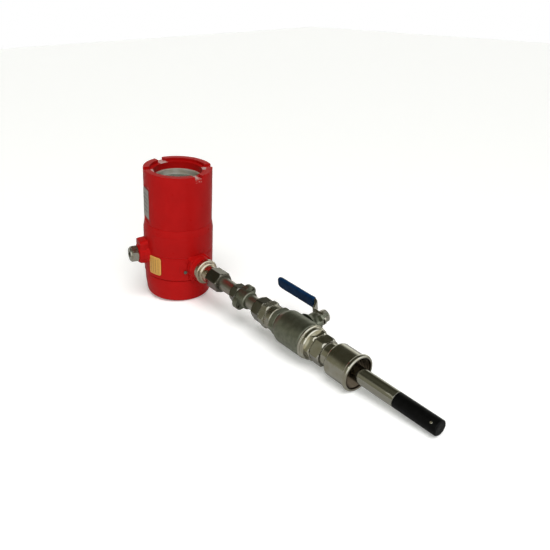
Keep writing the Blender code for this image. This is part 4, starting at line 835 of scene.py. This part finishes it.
class FLOWMETER_OT_window(bpy.types.Operator):
    """Glass, its ring and gasket, and the display beneath them"""
    bl_idname = "flowmeter.window"
    bl_label = "Window"

    def execute(self, context):
        r = GLASS_RADIUS
        glass = [(0, GLASS_BOTTOM), (r, GLASS_BOTTOM), (r, GLASS_TOP), (0, GLASS_TOP)]
        add_surface("glass_disc", bar(glass, soft=0.5 * MM), MATERIALS["glass"], "cover", "window_glass")
        low = GLASS_TOP + 0.3 * MM
        bore = r - 3.1 * MM
        ring = [(bore, low), (r, low), (r, RING_TOP), (bore + 1 * MM, RING_TOP)]
        ring += [(bore + 0.4 * MM, RING_TOP - 0.5 * MM)]
        crests = np.arange(RING_TOP - 0.8 * MM, low + 1.0 * MM, -1.3 * MM)
        thread = ((0, 0), (0, 0.3), (0.55, 0.65), (0.55, 0.95))
        ring += [(bore + out * MM, z - down * MM) for z in crests for out, down in thread]
        add_surface("threaded_window_ring", bar(ring, soft=0.12 * MM), MATERIALS["pale_z"], "cover",
                    "window_ring")
        for node in ("window_gasket", "cover_o_ring", "bottom_o_ring"):
            finish_node(node, MATERIALS["rubber"])
        finish_node("electronics_chassis", MATERIALS["bright_z"])
        finish_node("main_board", MATERIALS["board"])
        for node in ("terminal_block", "display_module"):
            finish_node(node, MATERIALS["dark_plastic"])
        uu, vv = np.meshgrid(np.linspace(-1, 1, 41), np.linspace(-1, 1, 31))
        points = np.stack((uu * 19.7 * MM, vv * 9.7 * MM, np.full_like(uu, DISPLAY_TOP - 1.2 * MM)), axis=-1)
        screen = ((np.abs(uu) < 0.93) & (np.abs(vv) < 0.88)).astype(float)
        mesh = open_sheet("display_screen", points, "screen", screen)
        add_piece("display_screen", mesh, MATERIALS["display"], "housing", slot="dark_plastic")
        return {"FINISHED"}


class FLOWMETER_OT_plates(bpy.types.Operator):
    """Blank yellow label, blank nameplate and the earthing screw"""
    bl_idname = "flowmeter.plates"
    bl_label = "Label and Plate"

    def execute(self, context):
        points, marks = label_surface()
        mesh = open_sheet("blank_label", points, "print", marks)
        label = add_piece("blank_label", mesh, MATERIALS["label"], "housing", "label_plate")
        points, field = nameplate_surface()
        mesh = open_sheet("blank_nameplate", points, "field", field)
        plate = add_piece("blank_nameplate", mesh, MATERIALS["plate"], "cover", "nameplate")
        for sheet in (label, plate):
            wall = sheet.modifiers.new("wall", "SOLIDIFY")
            wall.thickness = 0.25 * MM
            wall.offset = -1
        # The earthing screw takes the steel's darker copy, which is painted shade
        dress("ground_screw", MATERIALS["painted_shade_x"], 0.4 * MM)
        return {"FINISHED"}


class FLOWMETER_OT_probe(bpy.types.Operator):
    """Fittings on the probe, from the housing pad to the gland, and the probe tube"""
    bl_idname = "flowmeter.probe"
    bl_label = "Probe"

    def execute(self, context):
        steel = MATERIALS["steel_x"]
        turned_piece("fitting_collar", "port_collar", outline_mm(
            (9.8, 46), (13, 46), (13, 65.5), (16.6, 65.5), (17.5, 66.4), (17.5, 72.3), (16.3, 73.5),
            (14.3, 73.7), (14.3, 75.0), (13.2, 76.1), (12.5, 76.6), (12.2, 77.2), (12.7, 78.0),
            (12.7, 87.1), (11, 87.1), (11, 99.1), (9.8, 99.1)), MATERIALS["brassy_x"], PROBE)
        # The nuts and the bushing take the steel's darker copy, which is painted shade
        turned_piece("compression_nut_turned", "compression_nut", outline_mm(
            (11.3, 87.4), (13.2, 87.4), (15.36, 89.2), (15.36, 110.4), (13.2, 112.4), (9.8, 112.4),
            (9.8, 100.1), (11.3, 100.1)), MATERIALS["painted_shade_x"], PROBE, 26.6 * MM)
        turned_piece("clamp_bushing_turned", "clamp_bushing", outline_mm(
            (9.8, 141), (11.9, 141), (13.86, 142.6), (13.86, 151.8), (11.9, 153.4), (9.8, 153.4)),
            MATERIALS["painted_shade_x"], PROBE, 24.0 * MM)
        dress("probe_clamp", MATERIALS["cast"], 1.5 * MM)
        inner = TUBE_RADIUS - 1.5 * MM
        tube = [(inner, TUBE_START), (TUBE_RADIUS, TUBE_START), (TUBE_RADIUS, TUBE_END), (inner, TUBE_END)]
        add_surface("probe_tube_skin", bar(tube, soft=0.5 * MM), MATERIALS["tube_x"], "housing", "probe_tube",
                    place=PROBE)
        turned_piece("entry_plug_turned", "conduit_plug", outline_mm(
            (0, 48.3), (9.5, 48.3), (9.5, 62.3), (11.5, 62.3), (12.7, 63.5), (12.7, 70.2), (11.2, 71.3),
            (9.9, 71.6), (9.4, 73.2), (4.7, 73.2), (4.62, 72.7), (4.62, 66.3),
            (0, 66.3)), MATERIALS["bright_y"], CONDUIT, 22.0 * MM, (0.0625, 0.0716), socket=4.75 * MM)
        turned_piece("gland_nut_turned", "gland_nut", outline_mm(
            (10.6, 191.3), (14.4, 191.3), (16.74, 193.2), (16.74, 205.2), (14.4, 207), (13, 207), (13, 196.3),
            (10.6, 196.3)), MATERIALS["painted_shade_x"], PROBE, 29.0 * MM)
        turned_piece("gland_body_turned", "gland_body", outline_mm(
            (11.5, 197.3), (12.7, 197.3), (12.7, 207.3), (16, 207.3), (18.4, 209), (18.4, 216.4), (16, 218),
            (14.9, 218.4), (14.9, 219.2), (16.3, 219.6), (16.3, 227.4), (14.9, 229.1), (13, 229.1),
            (13, 243.1), (10.6, 243.1), (10.6, 215.3),
            (11.5, 215.3)), steel, PROBE, 32.0 * MM, (0.2072, 0.2182))
        finish_node("packing_ring", MATERIALS["white_seal"])
        finish_node("gland_follower", steel)
        return {"FINISHED"}


LEVER_MID = 39.9 * MM
LEVER_RISE = 16.5 * MM


def lever_stations():
    """Centre line of the lever, as (x, z, half width, share of thickness) from hub to free end."""
    reach, rise = 10.5, LEVER_RISE / MM
    rows = [(reach, 0, 0.4, 0.4)]
    round_end = (0.06, 0.12, 0.25, 0.4, 0.6, 0.8, 1)
    rows += [(reach * (1 - s), 0, 8.8 * sqrt(1 - (1 - s) ** 2), 1) for s in round_end]
    rows += [(-4, 0, 8.8, 1), (-8, 0, 8.8, 1), (-11.5, 0, 8.6, 1), (-14, rise * 0.07, 7.9, 1)]
    rows += [(-18.5, rise * 0.46, 7.2, 1), (-23.5, rise * 0.93, 7, 1), (-26, rise, 7, 1), (-32, rise, 7, 1)]
    rows += [(-90, rise, 7, 1), (-95, rise, 6, 1), (-97.6, rise, 3, 1), (-98, rise, 0.4, 0.4)]
    return [(x * MM, z * MM + LEVER_MID, half * MM, share) for x, z, half, share in rows]


def grip_stations():
    """Centre line of the vinyl sleeve: a soft lip at its mouth, a faint waist and a round end."""
    rows = [(-28.5, 7.0, 0.62), (-28.5, 8.0, 0.9), (-29.2, 8.6, 1.0), (-31, 8.75, 1.0), (-34, 8.45, 0.92)]
    rows += [(-50, 8.35, 0.9), (-70, 8.35, 0.9), (-88, 8.4, 0.92), (-95, 8.2, 0.92), (-98.5, 7.2, 0.85)]
    rows += [(-100.4, 5.4, 0.7), (-101, 2.4, 0.4), (-101, 0.1, 0.05)]
    return [(x * MM, LEVER_MID + LEVER_RISE, half * MM, share) for x, half, share in rows]


class FLOWMETER_OT_valve(bpy.types.Operator):
    """Ball valve with its stem, lever and grip, and the nipple and pipe coupling"""
    bl_idname = "flowmeter.valve"
    bl_label = "Valve"

    def execute(self, context):
        bright, cast = MATERIALS["bright_x"], MATERIALS["cast"]
        turned_piece("valve_barrel_casting", "valve_body", outline_mm(
            (13.3, 229.4), (16.2, 229.4), (18.9, 231), (19.05, 236), (18.6, 237.6), (17.6, 238.6),
            (18.6, 240.4), (20.6, 243.6), (21.8, 246.4), (22.2, 249), (22.2, 286.8), (21.4, 288.2),
            (18.6, 288.2), (18.6, 246), (12.7, 246), (12.7, 243.7),
            (13.3, 243.7)), cast, PROBE, 33.0 * MM, (0.2290, 0.2380), 0.8 * MM)
        bonnet = outline_mm((8.3, 19), (16.5, 19), (14.2, 22.3), (12.4, 24.2), (11.5, 26.6), (11.5, 33.2),
                            (10.9, 34), (8.3, 34))
        add_surface("valve_bonnet_casting", bar(bonnet, 96, soft=0.6 * MM), cast, "valve", place=STEM)
        arm_turn = STEM @ Matrix.Rotation(radians(-45), 4, "Z")
        arm = smooth_line([(-18.5, 32.05, 0.02, 0.02), (-18.2, 32.05, 3.1, 0.8), (-17, 32.05, 4.0, 1),
                           (-9, 32.05, 4.0, 1), (9, 32.05, 4.0, 1), (17, 32.05, 4.0, 1),
                           (18.2, 32.05, 3.1, 0.8), (18.5, 32.05, 0.02, 0.02)], 4) * (MM, MM, MM, 1)
        add_surface("valve_stop_arm", strip(arm, 3.8 * MM), cast, "valve", place=arm_turn, across=False)
        for index, (along, across) in enumerate(((-11.4, 11.4), (11.4, -11.4))):
            post = outline_mm((0, 33), (3.2, 33), (3.2, 40.7), (2.3, 41.4), (0, 41.4))
            place = STEM @ Matrix.Translation((along * MM, across * MM, 0))
            grid = bar(post, 64, 4.4 * MM, 0.5 * MM)
            add_surface("valve_stop_post_%d" % (index + 1), grid, cast, "valve", place=place)
        # The end cap takes the steel's brighter copy, whose extra brightness is painted light
        turned_piece("valve_end_turned", "valve_end_cap", outline_mm(
            (12.7, 282.3), (18.3, 282.3), (18.3, 288.5), (21.4, 288.5), (22.2, 289.3), (22.2, 290.6),
            (20.4, 291.3), (20.4, 292.0), (21.0, 292.9), (21.0, 296.2), (19.9, 297.6), (19.3, 297.9),
            (19.3, 303.3), (16.75, 304.9), (13.3, 304.9), (13.3, 294.6),
            (12.7, 294.6)), MATERIALS["polished_painted_light_x"], PROBE, 33.5 * MM, (0.2977, 0.3060))
        turned_piece("nipple_turned", "hex_nipple", outline_mm(
            (10.8, 295.2), (13, 295.2), (13, 305.2), (16.2, 305.2), (18.76, 306.9), (18.76, 318.9),
            (16.2, 320.6), (14.2, 320.8), (14.2, 330.1), (13, 330.1), (13, 342.1),
            (10.8, 342.1)), bright, PROBE, 32.5 * MM, (0.3051, 0.3207))
        for node in ("seat_front", "seat_rear", "stem_packing"):
            finish_node(node, MATERIALS["white_seal"])
        finish_node("valve_ball", bright)
        steel_y = MATERIALS["steel_y"]
        turned_piece("packing_nut_turned", "packing_nut", outline_mm(
            (5.3, 30.7), (8, 30.7), (8, 34.3), (8.6, 34.3), (9.8, 35), (9.8, 37.2), (8.6, 38.1),
            (5.3, 38.1)), steel_y, STEM, 17.0 * MM, (0.0342, 0.0382), 0.25 * MM)
        turned_piece("spring_washer_turned", "spring_washer", outline_mm(
            (5.3, 41.7), (8, 41.7), (8, 42.9), (5.3, 42.9)), steel_y, STEM, soft=0.3 * MM)
        turned_piece("lever_nut_turned", "lever_nut", outline_mm(
            (5.3, 43.2), (7.5, 43.2), (8.6, 44), (8.6, 48.2), (7.5, 49.2),
            (5.3, 49.2)), steel_y, STEM, 15.0 * MM, (0.0431, 0.0493), 0.25 * MM)
        turned_piece("valve_stem_turned", "valve_stem", outline_mm(
            (0, 16), (5, 16), (5, 18.9), (7, 18.9), (7, 20.9), (5, 20.9), (5, 49.4), (4.3, 50),
            (0, 50)), steel_y, STEM)
        strap = strip(smooth_line(lever_stations(), 6), 2.9 * MM, 9.0, 48)
        add_surface("lever_strap", strap, MATERIALS["bright_y"], "valve_lever", "lever", place=STEM,
                    across=False)
        sleeve = strip(smooth_line(grip_stations(), 5), 6.2 * MM, 3.6, 64)
        add_surface("lever_sleeve", sleeve, MATERIALS["blue"], "valve_lever", "lever_grip", place=STEM,
                    across=False, smooth=60)
        bead = CUP_END - 6 * MM
        rim = CUP_RIM_RADIUS
        barrel = rim - 2 * MM
        cup = [(13.3 * MM, CUP_START), (16.3 * MM, CUP_START), (17.8 * MM, CUP_START + 1.5 * MM),
               (barrel - 1.6 * MM, CUP_START + 2.2 * MM), (barrel, CUP_START + 4.6 * MM), (barrel, bead),
               (rim - 0.4 * MM, bead + 0.8 * MM), (rim, bead + 2.2 * MM), (rim, CUP_END - 1.4 * MM),
               (rim - 1.4 * MM, CUP_END), (20.2 * MM, CUP_END), (19.6 * MM, CUP_END - 0.8 * MM)]
        crests = CUP_END - np.arange(3.0, 25.5, 2.3) * MM
        thread = ((19.5, 0.0), (18.4, 0.95), (18.4, 1.25), (19.5, 2.2))
        cup += [(radius * MM, z - down * MM) for z in crests for radius, down in thread]
        cup += [(19 * MM, CUP_END - 27 * MM), (12.8 * MM, CUP_END - 29 * MM)]
        cup += [(13.3 * MM, CUP_START + 12 * MM)]
        add_surface("pipe_coupling_shell", bar(cup, soft=0.9 * MM), MATERIALS["coupling_x"], "valve",
                    "process_coupling", place=PROBE)
        return {"FINISHED"}


class FLOWMETER_OT_tip(bpy.types.Operator):
    """Black cap over the sensor pins, its dot, and the holder inside it"""
    bl_idname = "flowmeter.tip"
    bl_label = "Tip"

    def execute(self, context):
        cap = [(0, TIP_END), (TIP_RADIUS - 1.3 * MM, TIP_END), (TIP_RADIUS, TIP_END - 1.3 * MM),
               (TIP_RADIUS, TIP_START), (7.9 * MM, TIP_START), (7.9 * MM, TIP_END - 5 * MM),
               (0, TIP_END - 5 * MM)]
        add_surface("tip_cap_shell", bar(cap, soft=0.6 * MM), MATERIALS["black"], "sensor_cap", "tip_cap",
                    place=PROBE)
        for node in ("sensor_holder", "heated_pin", "reference_pin"):
            finish_node(node, MATERIALS["steel_x"])
        low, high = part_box("tip_dot")
        middle = (low + high) / 2
        out = Vector((0, middle.y, middle.z - PROBE_Z)).normalized()
        place = Matrix.Translation((middle.x, 0, PROBE_Z)) @ out.to_track_quat("Z", "X").to_matrix().to_4x4()
        face = TIP_RADIUS / MM
        button = outline_mm((0, face - 1.2), (1.5, face - 1.2), (1.5, face + 0.1), (1.1, face + 0.35),
                            (0, face + 0.4))
        add_surface("tip_dot_button", bar(button, 48, soft=0.15 * MM), MATERIALS["bright_x"],
                    body_of("tip_dot"), "tip_dot", place=place)
        return {"FINISHED"}


# Stage

CAMERA_PLACE = Vector((0.78905, -0.50621, 0.51509))
CAMERA_YAW = 48.48
CAMERA_PITCH = 27.65
CAMERA_ROLL = 3.6
CAMERA_FOCUS_PX = 700.0
PHOTO_PX = 550.0
FLOOR_CONTACT_X = 43.5 * MM
FLOOR_TILT = atan2(32.8, 325.3)
SUN_SIDE = (0.40, -0.25, 1.0)
SUN_SPREAD = radians(42)
BACKDROP_SIDE = (-0.74, 0.67, 0.0)
BACKDROP_HEIGHT = 0.45
BACKDROP_COLOUR = (1.35, 1.35, 1.27)
ROOM_DARK = (0.070, 0.069, 0.048)
ROOM_FRONT = (0.32, 0.315, 0.25)
ROOM_CEILING = (0.13, 0.13, 0.10)
ROOM_WINDOW = (1.40, 1.42, 1.46)
ROOM_BELOW = (0.50, 0.50, 0.47)
LIGHTS_TARGET = (0.2, 0, 0.08)

# Area lights: name, place, size, share of the front light's power, and whether metal mirrors it
AREA_LIGHTS = (("front_light", (1.5, -0.75, 0.95), (1.0, 0.8), 1.0, False),
               ("left_light", (-1.1, -0.9, 0.8), (0.9, 0.9), 0.02, False),
               ("glint_light", (0.15, -1.15, 1.05), (0.16, 0.16), 0.06, True))


def camera_matrix():
    """Camera axes from yaw, pitch and roll, as the photograph was taken."""
    yaw, pitch, roll = (radians(a) for a in (CAMERA_YAW, CAMERA_PITCH, CAMERA_ROLL))
    right = Vector((cos(yaw), sin(yaw), 0))
    ahead = Vector((-sin(yaw) * cos(pitch), cos(yaw) * cos(pitch), -sin(pitch)))
    up = right.cross(ahead)
    across = right * cos(roll) + up * sin(roll)
    above = up * cos(roll) - right * sin(roll)
    matrix = Matrix((across, above, -ahead)).transposed().to_4x4()
    matrix.translation = CAMERA_PLACE
    return matrix


def add_area(name, place, size, power, mirrored):
    """A soft light that looks at the object, and shows in bright metal only if mirrored."""
    data = bpy.data.lights.new(name, "AREA")
    data.shape = "RECTANGLE"
    data.size, data.size_y = size
    data.energy = power
    light = bpy.data.objects.new(name, data)
    light.location = place
    ahead = Vector(LIGHTS_TARGET) - Vector(place)
    light.rotation_euler = ahead.to_track_quat("-Z", "Y").to_euler()
    light.visible_glossy = mirrored
    bpy.context.scene.collection.objects.link(light)


def add_sun(name, side, spread, strength):
    """A wide soft light from far off, on the given side, that metal doesn't mirror."""
    data = bpy.data.lights.new(name, "SUN")
    data.energy = strength
    data.angle = spread
    light = bpy.data.objects.new(name, data)
    light.rotation_euler = Vector(side).to_track_quat("Z", "Y").to_euler()
    light.visible_glossy = False
    bpy.context.scene.collection.objects.link(light)


def studio_air(strength):
    """The room: plain white to the camera, and a darker room to everything else.

    Below the horizon it is pale. Above, it is dark, and a little lighter in front and overhead. A
    pale backdrop behind the object fades out towards BACKDROP_HEIGHT. A bright window stands on the
    probe's side for mirrored rays alone, so only edges and chamfers turned that way catch it.
    """
    world = bpy.data.worlds.new("studio_air")
    tree = NodeTree(world)
    sight = tree.nodes.new("ShaderNodeLightPath")
    direction = tree.nodes.new("ShaderNodeTexCoord").outputs["Generated"]
    parts = tree.nodes.new("ShaderNodeSeparateXYZ")
    tree.join(direction, parts.inputs["Vector"])
    height = parts.outputs["Z"]
    facing = tree.nodes.new("ShaderNodeVectorMath")
    facing.operation = "DOT_PRODUCT"
    facing.inputs[1].default_value = BACKDROP_SIDE
    tree.join(direction, facing.inputs[0])
    room = tree.blend(tree.ramp(parts.outputs["Y"], -0.52, -0.74), ROOM_DARK, ROOM_FRONT)
    room = tree.blend(tree.ramp(height, 0.80, 0.99), room, ROOM_CEILING)
    window = tree.math("MULTIPLY", tree.ramp(parts.outputs["X"], 0.22, 0.42), sight.outputs["Is Glossy Ray"])
    room = tree.blend(window, room, ROOM_WINDOW)
    above = tree.blend(tree.ramp(height, BACKDROP_HEIGHT, 0.08), (0, 0, 0), (1, 1, 1))
    behind = tree.math("MULTIPLY", tree.ramp(facing.outputs["Value"], 0.35, 0.65), above)
    room = tree.blend(behind, room, BACKDROP_COLOUR)
    room = tree.blend(tree.ramp(height, 0.02, -0.02), room, ROOM_BELOW)
    background = tree.nodes["Background"]
    tree.join(tree.blend(sight.outputs["Is Camera Ray"], room, (1.0, 1.0, 1.0)), background.inputs["Color"])
    background.inputs["Strength"].default_value = strength
    return world


class FLOWMETER_OT_stage(bpy.types.Operator):
    """Floor, soft lights and the photograph's camera"""
    bl_idname = "flowmeter.stage"
    bl_label = "Stage"

    def execute(self, context):
        scene = context.scene
        data = bpy.data.cameras.new("photo_camera")
        data.sensor_width = 36.0
        data.lens = CAMERA_FOCUS_PX / PHOTO_PX * data.sensor_width
        data.clip_start = 0.01
        camera = bpy.data.objects.new("photo_camera", data)
        camera.matrix_world = camera_matrix()
        scene.collection.objects.link(camera)
        scene.camera = camera
        slope = np.tan(FLOOR_TILT)
        reach = 4.0
        corners = [(x, y, (x - FLOOR_CONTACT_X) * slope) for x, y in
                   ((-reach, -reach), (reach, -reach), (reach, reach), (-reach, reach))]
        mesh = bpy.data.meshes.new("table_top")
        mesh.from_pydata(corners, [], [(0, 1, 2, 3)])
        mesh.materials.append(MATERIALS["floor"])
        floor = bpy.data.objects.new("table_top", mesh)
        scene.collection.objects.link(floor)
        settings = scene.flow_meter_looks
        add_sun("overhead_sun", SUN_SIDE, SUN_SPREAD, settings.sun_strength)
        for name, place, size, share, mirrored in AREA_LIGHTS:
            add_area(name, place, size, settings.front_power * share, mirrored)
        scene.world = studio_air(settings.air_strength)
        scene.view_settings.view_transform = "Standard"
        return {"FINISHED"}


class FlowMeterLooks(bpy.types.PropertyGroup):
    """Colours and lights that a user would change"""
    enamel_colour: FloatVectorProperty(name="Enamel", description="Colour of the housing's enamel",
                                       subtype="COLOR", size=3, min=0, max=1, default=(0.325, 0.0044, 0.0042))
    steel_colour: FloatVectorProperty(name="Steel", description="Reflection colour of the stainless steel",
                                      subtype="COLOR", size=3, min=0, max=1, default=(0.41, 0.40, 0.335))
    grip_colour: FloatVectorProperty(name="Grip", description="Colour of the lever's vinyl",
                                     subtype="COLOR", size=3, min=0, max=1, default=(0.0022, 0.0185, 0.0560))
    floor_colour: FloatVectorProperty(name="Floor", description="Colour of the table top",
                                      subtype="COLOR", size=3, min=0, max=1, default=(0.95, 0.95, 0.95))
    sun_strength: FloatProperty(name="Overhead light", description="Strength of the wide light from above",
                                min=0, default=2.5)
    front_power: FloatProperty(name="Front light", description="Power of the light beside the camera",
                               unit="POWER", min=0, default=12.0)
    air_strength: FloatProperty(name="Room light", description="Strength of the light from all round",
                                min=0, default=1.0)


class FLOWMETER_PT_panel(bpy.types.Panel):
    """Lists the pieces of the flow meter"""
    bl_idname = "FLOWMETER_PT_panel"
    bl_label = "Flow Meter"
    bl_space_type = "VIEW_3D"
    bl_region_type = "UI"
    bl_category = "Flow Meter"

    def draw(self, context):
        settings = context.scene.flow_meter_looks
        for name in FlowMeterLooks.__annotations__:
            self.layout.prop(settings, name)
        for operator in OPERATORS:
            self.layout.operator(operator.bl_idname)


OPERATORS = (FLOWMETER_OT_stage, FLOWMETER_OT_housing, FLOWMETER_OT_window, FLOWMETER_OT_plates,
             FLOWMETER_OT_probe, FLOWMETER_OT_valve, FLOWMETER_OT_tip)
CLASSES = (FlowMeterLooks, FLOWMETER_PT_panel) + OPERATORS


def register():
    """Register the classes and the settings."""
    for cls in CLASSES:
        bpy.utils.register_class(cls)
    bpy.types.Scene.flow_meter_looks = bpy.props.PointerProperty(type=FlowMeterLooks)


def unregister():
    """Take the settings and the classes away again."""
    del bpy.types.Scene.flow_meter_looks
    for cls in reversed(CLASSES):
        bpy.utils.unregister_class(cls)


def main():
    register()
    make_finishes(bpy.context.scene.flow_meter_looks)
    bpy.ops.flowmeter.stage()
    bpy.ops.flowmeter.housing()
    bpy.ops.flowmeter.window()
    bpy.ops.flowmeter.plates()
    bpy.ops.flowmeter.probe()
    bpy.ops.flowmeter.valve()
    bpy.ops.flowmeter.tip()


if __name__ == "__main__":
    main()
